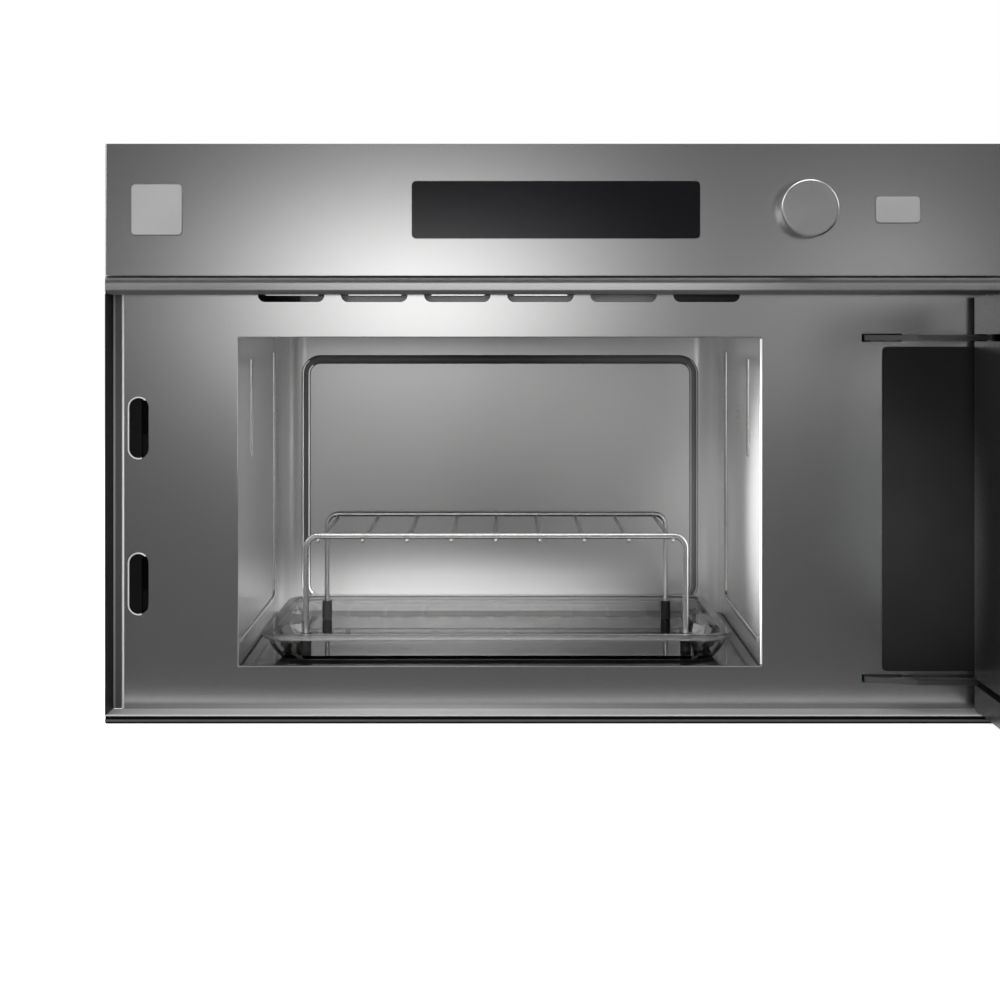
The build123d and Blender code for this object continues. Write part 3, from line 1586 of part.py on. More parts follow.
def rack_cross_wires():
    """Cross wires welded under the two top bars."""
    z = rack_bar_z - rack_wire_r - cross_wire_r
    y = (rack_front_y - cross_overhang, rack_back_y + cross_overhang)
    wires = None
    for n in range(cross_wires):
        x = rack_x + (n - (cross_wires - 1) / 2) * cross_pitch
        wire = rod("Y", x, z, cross_wire_r, y)
        wires = wire if wires is None else wires + wire
    return wires


def rack_feet():
    """Rubber sleeves with closed ends on the rack's four legs."""
    high = foot_low + foot_height
    feet = None
    for x in around(rack_x, rack_width):
        for y in (rack_front_y, rack_back_y):
            foot = rod("Z", x, y, foot_r, (foot_low, high))
            foot = fillet(foot.edges().group_by(Axis.Z)[-1], foot_edge_r)
            foot -= rod("Z", x, y, rack_wire_r, (foot_low + foot_base, high + work_gap))
            feet = foot if feet is None else feet + foot
    return feet


nodes = {
    "front_plate": front_plate(),
    "top_trim": top_trim(),
    "bottom_trim": bottom_trim(),
    "side_trim_left": side_trim(-1, front_y),
    "side_trim_right": side_trim(1, -hinge_side_wall),
    "hinge_cover": hinge_cover(),
    "control_panel": control_panel(),
    "display_window": display_window(),
    "display_board": display_board(),
    "selector_encoder": selector_encoder(),
    "selector_knob": selector_knob(),
    "start_button": start_button(),
    "door_button": door_button(),
    "release_slider": release_slider(),
    "latch_housing": latch_housing(),
    "interlock_switches": interlock_switches(),
    "hinge_bracket": hinge_bracket(),
    "hinge_arm_lower": hinge_arm(arm_levels[0]),
    "hinge_arm_upper": hinge_arm(arm_levels[1]),
    "base_plate": base_plate(),
    "housing_cover": housing_cover(),
    "back_panel": back_panel(),
    "housing_screws": housing_screws(),
    "cable_gland": cable_gland(),
    "cavity_shell": cavity_shell(),
    "floor_plate": floor_plate(),
    "floor_seal": floor_seal(),
    "stirrer_cover": stirrer_cover(),
    "stirrer": stirrer(),
    "stirrer_motor": stirrer_motor(),
    "waveguide": waveguide(),
    "magnetron": magnetron(),
    "grill_reflector": grill_reflector(),
    "grill_tubes": grill_tubes(),
    "lamp_holder": lamp_holder(),
    "lamp": lamp(),
    "air_duct": air_duct(),
    "thermal_cutouts": thermal_cutouts(),
    "fan_housing": fan_housing(),
    "fan_motor": fan_motor(),
    "fan_rotor": fan_rotor(),
    "inverter_board": inverter_board(),
    "inverter_heatsink": inverter_heatsink(),
    "inverter_transformer": inverter_transformer(),
    "filter_board": filter_board(),
    "door_glass": opened(door_glass()),
    "door_frame": opened(door_frame()),
    "door_cover": opened(door_cover()),
    "door_choke": opened(door_choke()),
    "door_screen": opened(door_screen()),
    "choke_cover": opened(choke_cover()),
    "door_inner_glass": opened(door_inner_glass()),
    "hinge_pins": hinge_pins(),
    "door_latch": opened(door_latch()),
    "latch_spring": opened(latch_spring()),
    "glass_tray": glass_tray(),
    "rack_front_frame": rack_frame(rack_front_y),
    "rack_back_frame": rack_frame(rack_back_y),
    "rack_cross_wires": rack_cross_wires(),
    "rack_feet": rack_feet(),
}

os.makedirs("parts", exist_ok=True)
for name, shape in nodes.items():
    export_step(shape, f"parts/{name}.step")
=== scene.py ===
import json
import math

import bmesh
import bpy
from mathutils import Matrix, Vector


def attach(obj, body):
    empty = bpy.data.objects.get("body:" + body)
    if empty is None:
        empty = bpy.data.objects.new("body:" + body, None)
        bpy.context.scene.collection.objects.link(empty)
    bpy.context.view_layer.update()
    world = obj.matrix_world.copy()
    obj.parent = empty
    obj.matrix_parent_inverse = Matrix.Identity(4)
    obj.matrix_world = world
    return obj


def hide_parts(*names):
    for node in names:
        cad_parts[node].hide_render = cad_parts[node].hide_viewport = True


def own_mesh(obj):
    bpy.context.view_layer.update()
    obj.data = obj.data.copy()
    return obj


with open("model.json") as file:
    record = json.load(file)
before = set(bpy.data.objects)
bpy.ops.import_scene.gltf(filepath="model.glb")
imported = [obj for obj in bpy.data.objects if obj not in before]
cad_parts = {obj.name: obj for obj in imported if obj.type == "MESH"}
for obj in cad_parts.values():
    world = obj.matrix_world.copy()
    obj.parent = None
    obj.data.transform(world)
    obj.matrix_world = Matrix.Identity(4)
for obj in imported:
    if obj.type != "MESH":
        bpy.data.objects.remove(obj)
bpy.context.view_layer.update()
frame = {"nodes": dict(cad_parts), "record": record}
nodes = frame["nodes"]


def material(name):
    """New node material: its node tree and its shader."""
    made = bpy.data.materials.new(name)
    made.use_nodes = True
    tree = made.node_tree
    return made, tree, tree.nodes["Principled BSDF"]


def set_shader(shader, **values):
    """Writes constants on the shader's own sockets; words are joined with spaces."""
    for key, value in values.items():
        shader.inputs[key.replace("_", " ").title().replace("Ior", "IOR")].default_value = value


def noise(tree, scale, stretch=(1, 1, 1), detail=4.0, roughness=0.55):
    """Noise over the object's own coordinates, in metres, stretched along its axes."""
    coordinates = tree.nodes.new("ShaderNodeTexCoord")
    mapping = tree.nodes.new("ShaderNodeMapping")
    mapping.inputs["Scale"].default_value = stretch
    texture = tree.nodes.new("ShaderNodeTexNoise")
    texture.inputs["Scale"].default_value = scale
    texture.inputs["Detail"].default_value = detail
    texture.inputs["Roughness"].default_value = roughness
    tree.links.new(coordinates.outputs["Object"], mapping.inputs["Vector"])
    tree.links.new(mapping.outputs["Vector"], texture.inputs["Vector"])
    return texture.outputs["Fac"]


def spread(tree, fac, low, high, source=(0.3, 0.7)):
    """Value from low to high as fac goes through its usual range."""
    node = tree.nodes.new("ShaderNodeMapRange")
    node.inputs["From Min"].default_value = source[0]
    node.inputs["From Max"].default_value = source[1]
    node.inputs["To Min"].default_value = low
    node.inputs["To Max"].default_value = high
    tree.links.new(fac, node.inputs["Value"])
    return node.outputs["Result"]


def tint(tree, shader, fac, first, second, source=(0.35, 0.65)):
    """Base colour that wanders between two colours."""
    ramp = tree.nodes.new("ShaderNodeValToRGB")
    ramp.color_ramp.elements[0].position = source[0]
    ramp.color_ramp.elements[1].position = source[1]
    ramp.color_ramp.elements[0].color = (*first, 1)
    ramp.color_ramp.elements[1].color = (*second, 1)
    tree.links.new(fac, ramp.inputs["Fac"])
    tree.links.new(ramp.outputs["Color"], shader.inputs["Base Color"])


def bump(tree, shader, height, distance, strength=1.0):
    """Bump of the given depth in metres."""
    node = tree.nodes.new("ShaderNodeBump")
    node.inputs["Distance"].default_value = distance
    node.inputs["Strength"].default_value = strength
    tree.links.new(height, node.inputs["Height"])
    tree.links.new(node.outputs["Normal"], shader.inputs["Normal"])


def grey(level, shade=1.0):
    return (level * shade, level * shade, level * shade * 0.995)


painted_back_shade_fade = 0.02


def metal(name, level, roughness, stretch=(1, 1, 1), scale=4000.0, depth=0.0000001, change=0.015, satin=0.0,
          painted_back_shade=None):
    """Metal with fine grain: brushed where stretch is long, or plain; satin scatters that share of its light.
    Its last argument, (Y in metres, share), is painted shade at the back: behind that Y the colour keeps only that
    share, after a short fade."""
    made, tree, shader = material(name)
    set_shader(shader, metallic=1.0 - satin)
    fine = noise(tree, scale, stretch, detail=3.0)
    broad = noise(tree, 9.0, (1, 1, 1), detail=2.0)
    tint(tree, shader, broad, grey(level, 1 - change), grey(level, 1 + change))
    tree.links.new(spread(tree, fine, roughness - 0.006, roughness + 0.008), shader.inputs["Roughness"])
    bump(tree, shader, fine, depth)
    # Painted shade: behind the given Y the base colour darkens to the given share.
    if painted_back_shade:
        coordinates = tree.nodes.new("ShaderNodeTexCoord")
        parts = tree.nodes.new("ShaderNodeSeparateXYZ")
        darker = tree.nodes.new("ShaderNodeVectorMath")
        darker.operation = "SCALE"
        tree.links.new(coordinates.outputs["Object"], parts.inputs["Vector"])
        start, share = painted_back_shade[0] - painted_back_shade_fade, painted_back_shade[1]
        fade = spread(tree, parts.outputs["Y"], 1.0, share, (start, painted_back_shade[0]))
        tree.links.new(fade, darker.inputs["Scale"])
        colour = shader.inputs["Base Color"].links[0].from_socket
        tree.links.new(colour, darker.inputs["Vector"])
        tree.links.new(darker.outputs["Vector"], shader.inputs["Base Color"])
    return made


def moulded(name, colour, roughness, scale=1400.0, depth=0.000012, coat=0.0, level=0.5):
    """Moulded plastic or rubber: fine grain in its gloss and relief."""
    made, tree, shader = material(name)
    set_shader(shader, coat_weight=coat, coat_roughness=0.08, specular_ior_level=level)
    grain = noise(tree, scale, detail=3.0)
    broad = noise(tree, 14.0, detail=2.0)
    lighter = tuple(min(1.0, c * 1.12 + 0.001) for c in colour)
    tint(tree, shader, broad, colour, lighter)
    tree.links.new(spread(tree, grain, roughness - 0.04, roughness + 0.05), shader.inputs["Roughness"])
    bump(tree, shader, grain, depth)
    return made


def clear(name, colour, roughness, ior=1.5, transmission=1.0, smear=0.02):
    """Glass with a faint wipe in its gloss."""
    made, tree, shader = material(name)
    set_shader(shader, base_color=(*colour, 1), ior=ior, transmission_weight=transmission)
    cloud = noise(tree, 25.0, (1, 1, 3), detail=3.0)
    tree.links.new(spread(tree, cloud, roughness, roughness + smear), shader.inputs["Roughness"])
    return made


def perforated(name):
    """Black enamelled sheet with a staggered field of fine holes, drawn as darker dots."""
    made, tree, shader = material(name)
    set_shader(shader, metallic=0.4)
    coordinates = tree.nodes.new("ShaderNodeTexCoord")
    texture = tree.nodes.new("ShaderNodeTexVoronoi")
    texture.inputs["Scale"].default_value = 520.0
    texture.inputs["Randomness"].default_value = 0.0
    tree.links.new(coordinates.outputs["Object"], texture.inputs["Vector"])
    distance = texture.outputs["Distance"]
    tint(tree, shader, distance, (0.002, 0.002, 0.002), (0.05, 0.05, 0.05), (0.42, 0.5))
    tree.links.new(spread(tree, distance, 0.7, 0.4, (0.4, 0.5)), shader.inputs["Roughness"])
    bump(tree, shader, distance, 0.0001)
    return made


def turned(name, level, roughness, centre):
    """Metal turned on a lathe: fine rings about a centre in X and Z."""
    made, tree, shader = material(name)
    set_shader(shader, metallic=1.0)
    coordinates = tree.nodes.new("ShaderNodeTexCoord")
    mapping = tree.nodes.new("ShaderNodeMapping")
    mapping.inputs["Location"].default_value = (-centre[0], 0, -centre[1])
    rings = tree.nodes.new("ShaderNodeTexWave")
    rings.wave_type = "RINGS"
    rings.rings_direction = "Y"
    rings.inputs["Scale"].default_value = 900.0
    rings.inputs["Distortion"].default_value = 0.4
    tree.links.new(coordinates.outputs["Object"], mapping.inputs["Vector"])
    tree.links.new(mapping.outputs["Vector"], rings.inputs["Vector"])
    fac = rings.outputs["Fac"]
    tint(tree, shader, fac, grey(level, 0.96), grey(level, 1.04), (0.2, 0.8))
    tree.links.new(spread(tree, fac, roughness - 0.04, roughness + 0.05), shader.inputs["Roughness"])
    bump(tree, shader, fac, 0.000006)
    return made


def board(name):
    """Green circuit board with copper runs under the mask."""
    made, tree, shader = material(name)
    coordinates = tree.nodes.new("ShaderNodeTexCoord")
    texture = tree.nodes.new("ShaderNodeTexBrick")
    texture.inputs["Scale"].default_value = 60.0
    texture.inputs["Color1"].default_value = (0.02, 0.1, 0.04, 1)
    texture.inputs["Color2"].default_value = (0.03, 0.14, 0.055, 1)
    texture.inputs["Mortar"].default_value = (0.06, 0.2, 0.08, 1)
    tree.links.new(coordinates.outputs["Object"], texture.inputs["Vector"])
    tree.links.new(texture.outputs["Color"], shader.inputs["Base Color"])
    tree.links.new(spread(tree, texture.outputs["Fac"], 0.35, 0.5, (0, 1)), shader.inputs["Roughness"])
    bump(tree, shader, texture.outputs["Fac"], 0.00003)
    return made


def banded(name, axis, bands, roughness, change="CONSTANT"):
    """Metal in bands along one axis, counted from the middle: (start in metres, level, metallic)."""
    made, tree, shader = material(name)
    coordinates = tree.nodes.new("ShaderNodeTexCoord")
    parts = tree.nodes.new("ShaderNodeSeparateXYZ")
    distance = tree.nodes.new("ShaderNodeMath")
    distance.operation = "ABSOLUTE"
    tree.links.new(coordinates.outputs["Object"], parts.inputs["Vector"])
    tree.links.new(parts.outputs[axis], distance.inputs[0])
    first = bands[0][0]
    reach = (bands[-1][0] - first) * 1.05
    place = spread(tree, distance.outputs["Value"], 0.0, 1.0, (first, first + reach))
    for column, socket in ((1, "Base Color"), (2, "Metallic")):
        ramp = tree.nodes.new("ShaderNodeValToRGB")
        ramp.color_ramp.interpolation = change
        while len(ramp.color_ramp.elements) < len(bands):
            ramp.color_ramp.elements.new(0.5)
        for element, band in zip(ramp.color_ramp.elements, bands):
            element.position = (band[0] - first) / reach
        for element, band in zip(ramp.color_ramp.elements, bands):
            element.color = (*grey(band[column]), 1)
        tree.links.new(place, ramp.inputs["Fac"])
        tree.links.new(ramp.outputs["Color"], shader.inputs[socket])
    set_shader(shader, specular_ior_level=0.1)
    fine = noise(tree, 3000.0, detail=3.0)
    tree.links.new(spread(tree, fine, roughness - 0.015, roughness + 0.02), shader.inputs["Roughness"])
    bump(tree, shader, fine, 0.0000002)
    return made


along_x = (0.06, 1, 1)
finishes = {
    "satin_steel": metal("satin_steel", 0.42, 0.22, along_x),
    "trim_steel": metal("trim_steel", 0.38, 0.22, along_x),
    # The cavity's steel darkens on its back wall: painted shade at the back of the cavity.
    "cavity_steel": metal("cavity_steel", 0.48, 0.25, (1, 1, 0.1), satin=0.3, painted_back_shade=(0.265, 0.84)),
    "zinc_sheet": metal("zinc_sheet", 0.45, 0.42, scale=70.0, depth=0.00001, change=0.04),
    "black_panel": moulded("black_panel", (0.005, 0.005, 0.005), 0.34, level=0.3),
    "dark_window": moulded("dark_window", (0.003, 0.003, 0.004), 0.1, level=0.25),
    "knob_metal": turned("knob_metal", 0.5, 0.28, (0.165, 0.3385)),
    "button_plastic": moulded("button_plastic", (0.3, 0.3, 0.3), 0.35),
    "white_plastic": moulded("white_plastic", (0.62, 0.61, 0.58), 0.42),
    "grey_plastic": moulded("grey_plastic", (0.2, 0.2, 0.2), 0.45),
    "black_plastic": moulded("black_plastic", (0.01, 0.01, 0.01), 0.45, level=0.3),
    "circuit_board": board("circuit_board"),
    "arm_steel": metal("arm_steel", 0.2, 0.3, along_x),
    "ceramic_floor": moulded("ceramic_floor", (0.006, 0.006, 0.006), 0.1, depth=0.000001, level=0.5),
    "seal_rubber": moulded("seal_rubber", (0.012, 0.012, 0.012), 0.6),
    "mica": moulded("mica", (0.42, 0.38, 0.3), 0.4, scale=300.0),
    "aluminium_sheet": metal("aluminium_sheet", 0.6, 0.3, along_x, scale=1500.0),
    "quartz": clear("quartz", (0.95, 0.95, 0.95), 0.35),
    "lamp_glass": clear("lamp_glass", (1.0, 0.97, 0.9), 0.05),
    "ferrite": moulded("ferrite", (0.03, 0.028, 0.026), 0.55, scale=500.0),
    "magnetron_metal": metal("magnetron_metal", 0.5, 0.35, scale=300.0),
    "door_glass": moulded("door_glass", (0.004, 0.004, 0.0045), 0.05, depth=0.0, coat=0.3),
    "clear_glass": clear("clear_glass", (0.85, 0.88, 0.87), 0.01),
    "black_metal": moulded("black_metal", (0.01, 0.01, 0.01), 0.3, scale=900.0),
    "tray_glass": clear("tray_glass", (0.57, 0.575, 0.57), 0.0, ior=1.45, smear=0.01),
    "chrome_wire": metal("chrome_wire", 0.85, 0.24),
    "spring_steel": metal("spring_steel", 0.5, 0.25, scale=2000.0),
    "foot_rubber": moulded("foot_rubber", (0.006, 0.006, 0.006), 0.45, level=0.3),
}
for entry in frame["record"]["subparts"]:
    mesh = nodes[entry["node"]].data
    mesh.materials.clear()
    mesh.materials.append(finishes[entry["material_slot"]])

# Nodes whose finish differs from their slot's; the trims get bands of (start, level, metallic)
# Painted shade and highlight on the bottom trim: black on its foot and in its groove, and a pale, less metallic
# band along its top lip.
ledge_shade_and_highlight_bands = ((0, 0.004, 1), (0.0015, 0.06, 1), (0.0029, 0.004, 1), (0.00505, 0.45, 0.2))
# Painted highlight on the top trim: a pale, matt band across the middle of its crown stands in for the crown's
# highlight.
crown_highlight_bands = ((0.283, 0.36, 1), (0.2854, 0.36, 1), (0.2867, 0.17, 0), (0.2893, 0.17, 0), (0.2907, 0.34, 1),
               (0.295, 0.34, 1))
side_bands = ((0.29, 0.07, 0.1), (0.2944, 0.17, 0), (0.2955, 0.006, 0))
own = {
    "door_screen": perforated("perforated_screen"),
    # The rack's cross wires take a darker steel than its chrome: painted shade.
    "rack_cross_wires": metal("wire_dark_painted_shade", 0.4, 0.3),
    "bottom_trim": banded("ledge_steel_painted_shade_and_highlight", "Z", ledge_shade_and_highlight_bands, 0.24),
    "top_trim": banded("crown_steel_painted_highlight", "Z", crown_highlight_bands, 0.3, "LINEAR"),
}
own["side_trim_left"] = own["side_trim_right"] = banded("side_steel", "X", side_bands, 0.4)
latch_black = moulded("latch_black", (0.003, 0.003, 0.003), 0.6, level=0.15)
for name in ("latch_housing", "interlock_switches", "release_slider"):
    own[name] = latch_black
for name, finish in own.items():
    nodes[name].data.materials.clear()
    nodes[name].data.materials.append(finish)

# Finishes of the scene's own edge pieces
# Pale, mostly matt steel for the edge pieces: painted highlight along the edges.
edge_painted_highlight_steel = metal("edge_painted_highlight_steel", 0.6, 0.35, satin=0.9)
# Dark steel for the back wall's loop: painted shade in its pressing.
painted_shade_steel = metal("painted_shade_steel", 0.06, 0.4, satin=0.8)
frosted = clear("frosted_lip", (0.9, 0.9, 0.9), 0.25, ior=1.45, transmission=0.985)


def bar(name, points, radius, slot, closed=False, body="cabinet", finish=None):
    """Round bar through the points."""
    curve = bpy.data.curves.new(name, "CURVE")
    curve.dimensions = "3D"
    curve.bevel_depth = radius
    curve.bevel_resolution = 3
    curve.use_fill_caps = True
    spline = curve.splines.new("POLY")
    spline.points.add(len(points) - 1)
    spline.use_cyclic_u = closed
    for point, place in zip(spline.points, points):
        point.co = (*place, 1)
    drawn = bpy.data.objects.new(name + "_line", curve)
    mesh = bpy.data.meshes.new_from_object(drawn)
    bpy.data.objects.remove(drawn)
    mesh.name = name
    mesh.shade_smooth()
    mesh.materials.append(finish or finishes[slot])
    piece = bpy.data.objects.new(name, mesh)
    bpy.context.scene.collection.objects.link(piece)
    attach(piece, body)
    return piece


def arc(centre, radius, start, end, steps=10):
    """Points of an arc in X and Z, in degrees."""
    turn = [math.radians(start + (end - start) * n / steps) for n in range(steps + 1)]
    return [(centre[0] + radius * math.cos(t), centre[1] + radius * math.sin(t)) for t in turn]


# Pressed beads of the cavity's side walls, as raised ridges, in the brighter chrome finish as painted highlight
cavity_x, cavity_half, cavity_flare, cavity_depth = -0.037, 0.1751, 0.0033, 0.27
cavity_top, bead_foot, bead_r = 0.2547, 0.0498, 0.0017
front_bead, rear_bead, bead_end, bead_bend = 0.076, 0.231, 0.015, 0.009
front_drops, rear_drop = (0.0842, 0.0159), 0.0122
for side, word in ((-1, "left"), (1, "right")):

    def on_wall(y, z):
        """Point on the inner face of this side wall."""
        return (cavity_x + side * (cavity_half + cavity_flare * y / cavity_depth), y, z)

    front = [on_wall(front_bead, cavity_top - drop) for drop in front_drops]
    bend = arc((rear_bead - bead_bend, bead_foot + bead_bend), bead_bend, 0, -90)
    rear = [on_wall(rear_bead, cavity_top - rear_drop), *(on_wall(y, z) for y, z in bend)]
    rear.append(on_wall(bead_end, bead_foot))
    for name, line in (("front_bead_", front), ("rear_bead_", rear)):
        bar(name + word, line, bead_r, "cavity_steel", finish=finishes["chrome_wire"])

# Pressed loop of the back wall: a dark ridge, painted shade in the pressing, with two light edges at each upright;
# the left edges are painted highlight in pale steel
loop_half, loop_low, loop_high, loop_bend = 0.15615, 0.04375, 0.23655, 0.01175
loop_y, loop_r, edge_y, edge_r, edge_shift = 0.2717, 0.0039, 0.2683, 0.00055, 0.0024
low_centre, high_centre = loop_low + loop_bend, loop_high - loop_bend
loop = []
for side, z, start, end in ((1, low_centre, -50, 0), (1, high_centre, 0, 90), (-1, high_centre, 90, 180),
                            (-1, low_centre, 180, 230)):
    loop += arc((cavity_x + side * (loop_half - loop_bend), z), loop_bend, start, end)
bar("back_loop", [(x, loop_y, z) for x, z in loop], loop_r, "cavity_steel", finish=painted_shade_steel)
for side, word, finish, turn in ((-1, "left", edge_painted_highlight_steel, (130, 180, 230)),
                                 (1, "right", finishes["cavity_steel"], (50, 0, -50))):
    for shift, edge in ((-edge_shift, "inner"), (edge_shift, "outer")):
        x = cavity_x + side * (loop_half - loop_bend)
        line = arc((x, high_centre), loop_bend + shift, turn[0], turn[1])
        line += arc((x, low_centre), loop_bend + shift, turn[1], turn[2])
        bar("loop_%s_%s" % (edge, word), [(x, edge_y, z) for x, z in line], edge_r, "cavity_steel", finish=finish)

# Rolled edges: the latch slots, the plate's sides and the cavity's mouth; all but the cavity's rim are in the pale
# steel, a painted highlight
slot_x, slot_half, slot_run, rim_r = -0.2788, 0.0067, 0.01387, 0.0005
for word, level in (("low", 0.0895), ("high", 0.1938)):
    outline = arc((slot_x, level + slot_run), slot_half, 45, 180)
    outline += arc((slot_x, level - slot_run), slot_half, 180, 290)
    bar("slot_rim_" + word, [(x, 0, z) for x, z in outline], rim_r, "satin_steel", finish=edge_painted_highlight_steel)
plate_half, plate_low, plate_high, fold_r = 0.2891, 0.0065, 0.2828, 0.0008
for side, word in ((-1, "left"), (1, "right")):
    ends = [(side * plate_half, 0, plate_low), (side * plate_half, 0, plate_high)]
    bar("plate_edge_" + word, ends, fold_r, "satin_steel", finish=edge_painted_highlight_steel)
mouth_low = 0.0344
corners = ((-1, mouth_low), (1, mouth_low), (1, cavity_top), (-1, cavity_top))
bar("cavity_rim", [(cavity_x + side * cavity_half, 0, z) for side, z in corners], rim_r, "satin_steel", closed=True)
mouth_x, mouth_y = 0.1379, 0.0002
bar("mouth_edge", [(mouth_x, mouth_y, z) for z in (0.036, 0.2535)], fold_r, "satin_steel", finish=edge_painted_highlight_steel)

# Folded tabs over the first four air slots, in pale steel as painted highlight, and a dark bar behind the last one
# as painted shade
tab_x, tab_pitch, tab_length, tab_r = -0.1937, 0.0555, 0.0353, 0.0004
for n in range(4):
    x = tab_x + n * tab_pitch
    bar("vent_tab_%d" % n, [(x, tab_r, plate_high), (x + tab_length, tab_r, plate_high)], tab_r, "satin_steel",
        finish=edge_painted_highlight_steel)
# Dark bar put behind the last air slot: painted shade.
shade_bar_y, shade_bar_z, shade_bar_r = 0.012, 0.2805, 0.004
bar("vent_shade_bar", [(x, shade_bar_y, shade_bar_z) for x in (0.076, 0.129)], shade_bar_r, "black_plastic")

# Thick frosted lip of the tray's rim
rim_half, rim_y, rim_reach, rim_bend = 0.1596, 0.12, 0.1033, 0.0217
lip_x, lip_z, lip_r = -0.039, 0.0507, 0.0019
rim = []
for across, along, start in ((1, 1, 0), (-1, 1, 90), (-1, -1, 180), (1, -1, 270)):
    centre = (lip_x + across * (rim_half - rim_bend), rim_y + along * (rim_reach - rim_bend))
    rim += arc(centre, rim_bend, start, start + 90)
bar("tray_lip", [(x, y, lip_z) for x, y in rim], lip_r, "tray_glass", closed=True, body="tray", finish=frosted)

# Latch spring, which rides with the latch
coil_x, coil_y, coil_r, coil_wire = 0.2865, -0.577, 0.003, 0.0005
coil_turns, turn_steps, coil_low, coil_high = 4, 24, 0.20415, 0.23945
steps = turn_steps * coil_turns
rise = (coil_high - coil_low - 2 * coil_wire) / steps
coil = []
for n in range(steps + 1):
    angle = math.tau * n / turn_steps
    coil.append((coil_x + coil_r * math.cos(angle), coil_y + coil_r * math.sin(angle),
                 coil_low + coil_wire + rise * n))
spring = bar("latch_coil", coil, coil_wire, "spring_steel", body="latch")
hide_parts("latch_spring")
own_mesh(spring)

# Rounded ends of the rack's cross wires
wire_x, wire_pitch, wire_y, wire_z, wire_count, wire_r = -0.0398, 0.0304, 0.03, 0.1153, 9, 0.00135
for n in range(wire_count):
    end = bmesh.new()
    bmesh.ops.create_uvsphere(end, u_segments=16, v_segments=10, radius=wire_r)
    mesh = bpy.data.meshes.new("wire_end_%d" % n)
    end.to_mesh(mesh)
    end.free()
    for corner in mesh.vertices:
        corner.co += Vector((wire_x + (n - wire_count // 2) * wire_pitch, wire_y, wire_z))
    mesh.shade_smooth()
    mesh.materials.append(finishes["chrome_wire"])
    piece = bpy.data.objects.new(mesh.name, mesh)
    bpy.context.scene.collection.objects.link(piece)
    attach(piece, "rack")

# Camera: level, square to the front, with the picture's middle shifted to the cavity's axis
camera_data = bpy.data.cameras.new("camera")
camera_data.sensor_width = 36.0
camera_data.lens = 70.92
camera_data.shift_x = -0.001
camera_data.shift_y = -0.164
camera_data.clip_end = 100.0
camera = bpy.data.objects.new("camera", camera_data)
camera.location = (-0.0362, -1.318, 0.2554)
camera.rotation_euler = (math.radians(90), 0, 0)
bpy.context.scene.collection.objects.link(camera)
bpy.context.scene.camera = camera


def area_light(name, place, target, size, power):
    """Soft rectangular lamp that faces its target."""
    data = bpy.data.lights.new(name, "AREA")
    data.shape = "RECTANGLE"
    data.size, data.size_y = size
    data.energy = power
    lamp = bpy.data.objects.new(name, data)
    lamp.location = place
    aim = Vector(target) - Vector(place)
    lamp.rotation_euler = aim.to_track_quat("-Z", "Y").to_euler()
    bpy.context.scene.collection.objects.link(lamp)
    return lamp


key = area_light("key", (-0.13, -1.5, 0.5), (-0.1, 0, 0.2), (0.5, 0.4), 9.0)
key.visible_glossy = False
key.visible_transmission = False
area_light("top", (0.0, -0.5, 2.2), (0, 0.1, 0.2), (2.0, 1.4), 26.0)
area_light("left", (-2.2, -1.0, 1.3), (0, 0, 0.2), (1.2, 1.6), 20.0)
area_light("right", (2.4, -0.8, 1.4), (0, 0, 0.2), (1.2, 1.6), 16.0)
area_light("back", (0.6, 2.4, 1.8), (0, 0.2, 0.2), (1.6, 1.2), 24.0)


def pool(name, place, target, angle, flat, power):
    """Soft pool of scattered light inside the cavity: a spot lamp with an oval cone."""
    data = bpy.data.lights.new(name, "SPOT")
    data.energy = power
    data.spot_size = math.radians(angle)
    data.spot_blend = 1.0
    data.shadow_soft_size = 0.02
    data.use_shadow = False
    lamp = bpy.data.objects.new(name, data)
    lamp.location = place
    lamp.rotation_euler = (Vector(target) - Vector(place)).to_track_quat("-Z", "Y").to_euler()
    lamp.scale = (1, flat, 1)
    lamp.visible_glossy = False
    lamp.visible_transmission = False
    bpy.context.scene.collection.objects.link(lamp)


pool("pool_back", (-0.08, -0.9, 0.2), (-0.086, 0.242, 0.035), 19.0, 0.27, 280.0)
pool("pool_left", (0.5, -0.5, 0.3), (-0.213, 0.16, 0.15), 28.0, 1.0, 34.0)
pool("pool_right", (-0.55, -0.5, 0.3), (0.139, 0.16, 0.15), 28.0, 1.0, 38.0)
pool("pool_right_rear", (-0.3, -0.6, 0.25), (0.137, 0.25, 0.11), 9.0, 1.0, 32.0)
pool("pool_right_front", (-0.5, -0.3, 0.3), (0.138, 0.0, 0.14), 15.0, 1.0, 190.0)


def stage_mesh(name, corners, faces):
    """Flat stage piece."""
    mesh = bpy.data.meshes.new(name)
    mesh.from_pydata(corners, [], faces)
    made = bpy.data.objects.new(name, mesh)
    bpy.context.scene.collection.objects.link(made)
    return made


def seen(tree, low, high):
    """Strength that is high for camera, glossy and transmission rays, and low for the rest."""
    path = tree.nodes.new("ShaderNodeLightPath")
    total = path.outputs["Is Camera Ray"]
    for other in ("Is Glossy Ray", "Is Transmission Ray"):
        larger = tree.nodes.new("ShaderNodeMath")
        larger.operation = "MAXIMUM"
        tree.links.new(total, larger.inputs[0])
        tree.links.new(path.outputs[other], larger.inputs[1])
        total = larger.outputs["Value"]
    return spread(tree, total, low, high, (0, 1))


# Pale floor, which keeps the shadow
reach = 40
corners = ((-reach, -reach), (reach, -reach), (reach, reach), (-reach, reach))
floor = stage_mesh("floor", [(x, y, -0.0004) for x, y in corners], [(0, 1, 2, 3)])
made, tree, shader = material("floor_pale")
set_shader(shader, base_color=(0.8, 0.8, 0.8, 1), roughness=0.8, specular_ior_level=0.0)
shader.inputs["Emission Color"].default_value = (1, 1, 1, 1)
tree.links.new(seen(tree, 0.0, 0.8), shader.inputs["Emission Strength"])
floor.data.materials.append(made)


# exp(-1/2): this base to the power of the square of the distance falls off like a bell curve
bell_base = 0.6065


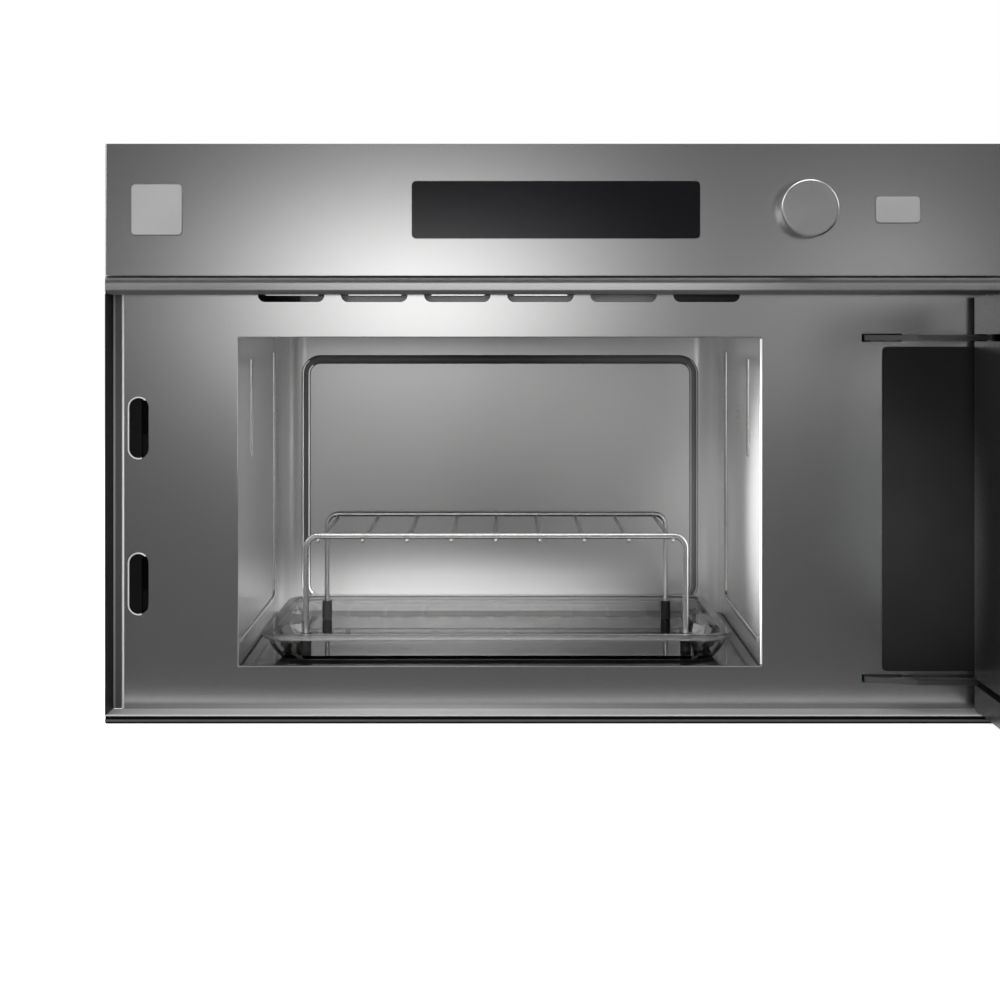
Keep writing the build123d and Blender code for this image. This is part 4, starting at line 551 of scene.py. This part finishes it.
def glow(tree, centre, size, strength):
    """Soft round patch of light on a stage piece, with its centre and its spread along X, Y and Z."""
    coordinates = tree.nodes.new("ShaderNodeTexCoord")
    mapping = tree.nodes.new("ShaderNodeMapping")
    mapping.vector_type = "TEXTURE"
    mapping.inputs["Location"].default_value = centre
    mapping.inputs["Scale"].default_value = size
    square = tree.nodes.new("ShaderNodeVectorMath")
    square.operation = "DOT_PRODUCT"
    power = tree.nodes.new("ShaderNodeMath")
    power.operation = "POWER"
    power.inputs[0].default_value = bell_base
    scaled = tree.nodes.new("ShaderNodeMath")
    scaled.operation = "MULTIPLY"
    scaled.inputs[1].default_value = strength
    tree.links.new(coordinates.outputs["Object"], mapping.inputs["Vector"])
    tree.links.new(mapping.outputs["Vector"], square.inputs[0])
    tree.links.new(mapping.outputs["Vector"], square.inputs[1])
    tree.links.new(square.outputs["Value"], power.inputs[1])
    tree.links.new(power.outputs["Value"], scaled.inputs[0])
    return scaled.outputs["Value"]


# Grey card in front, seen in the gloss only: a floor part and a wall behind the camera, with a soft lit patch
card_half, card_near, card_far, card_low, card_high = 4, -0.05, -1.6, 0.002, 3
corners = [(-card_half, card_near, card_low), (card_half, card_near, card_low), (card_half, card_far, card_low),
           (-card_half, card_far, card_low), (card_half, card_far, card_high), (-card_half, card_far, card_high)]
card = stage_mesh("card", corners, [(0, 1, 2, 3), (3, 2, 4, 5)])
made, tree, shader = material("card_grey")
set_shader(shader, base_color=(0, 0, 0, 1), roughness=1.0, specular_ior_level=0.0)
shader.inputs["Emission Color"].default_value = (1, 1, 1, 1)
level = glow(tree, (-0.16, card_far, 0.31), (0.16, 1, 0.07), 5.5)
for place, size, strength in (((0.51, card_far, 0.27), (0.07, 1, 0.09), 2.0), ((0, 0, 0), (90, 90, 90), 0.17)):
    total = tree.nodes.new("ShaderNodeMath")
    tree.links.new(level, total.inputs[0])
    tree.links.new(glow(tree, place, size, strength), total.inputs[1])
    level = total.outputs["Value"]
tree.links.new(level, shader.inputs["Emission Strength"])
card.data.materials.append(made)
for ray in ("camera", "diffuse", "transmission", "shadow", "volume_scatter"):
    setattr(card, "visible_" + ray, False)

# White surroundings
world = bpy.data.worlds.new("world")
bpy.context.scene.world = world
world.use_nodes = True
background = world.node_tree.nodes["Background"]
background.inputs["Color"].default_value = (1, 1, 1, 1)
world.node_tree.links.new(seen(world.node_tree, 0.3, 1.0), background.inputs["Strength"])

bpy.context.scene.view_settings.view_transform = "Standard"
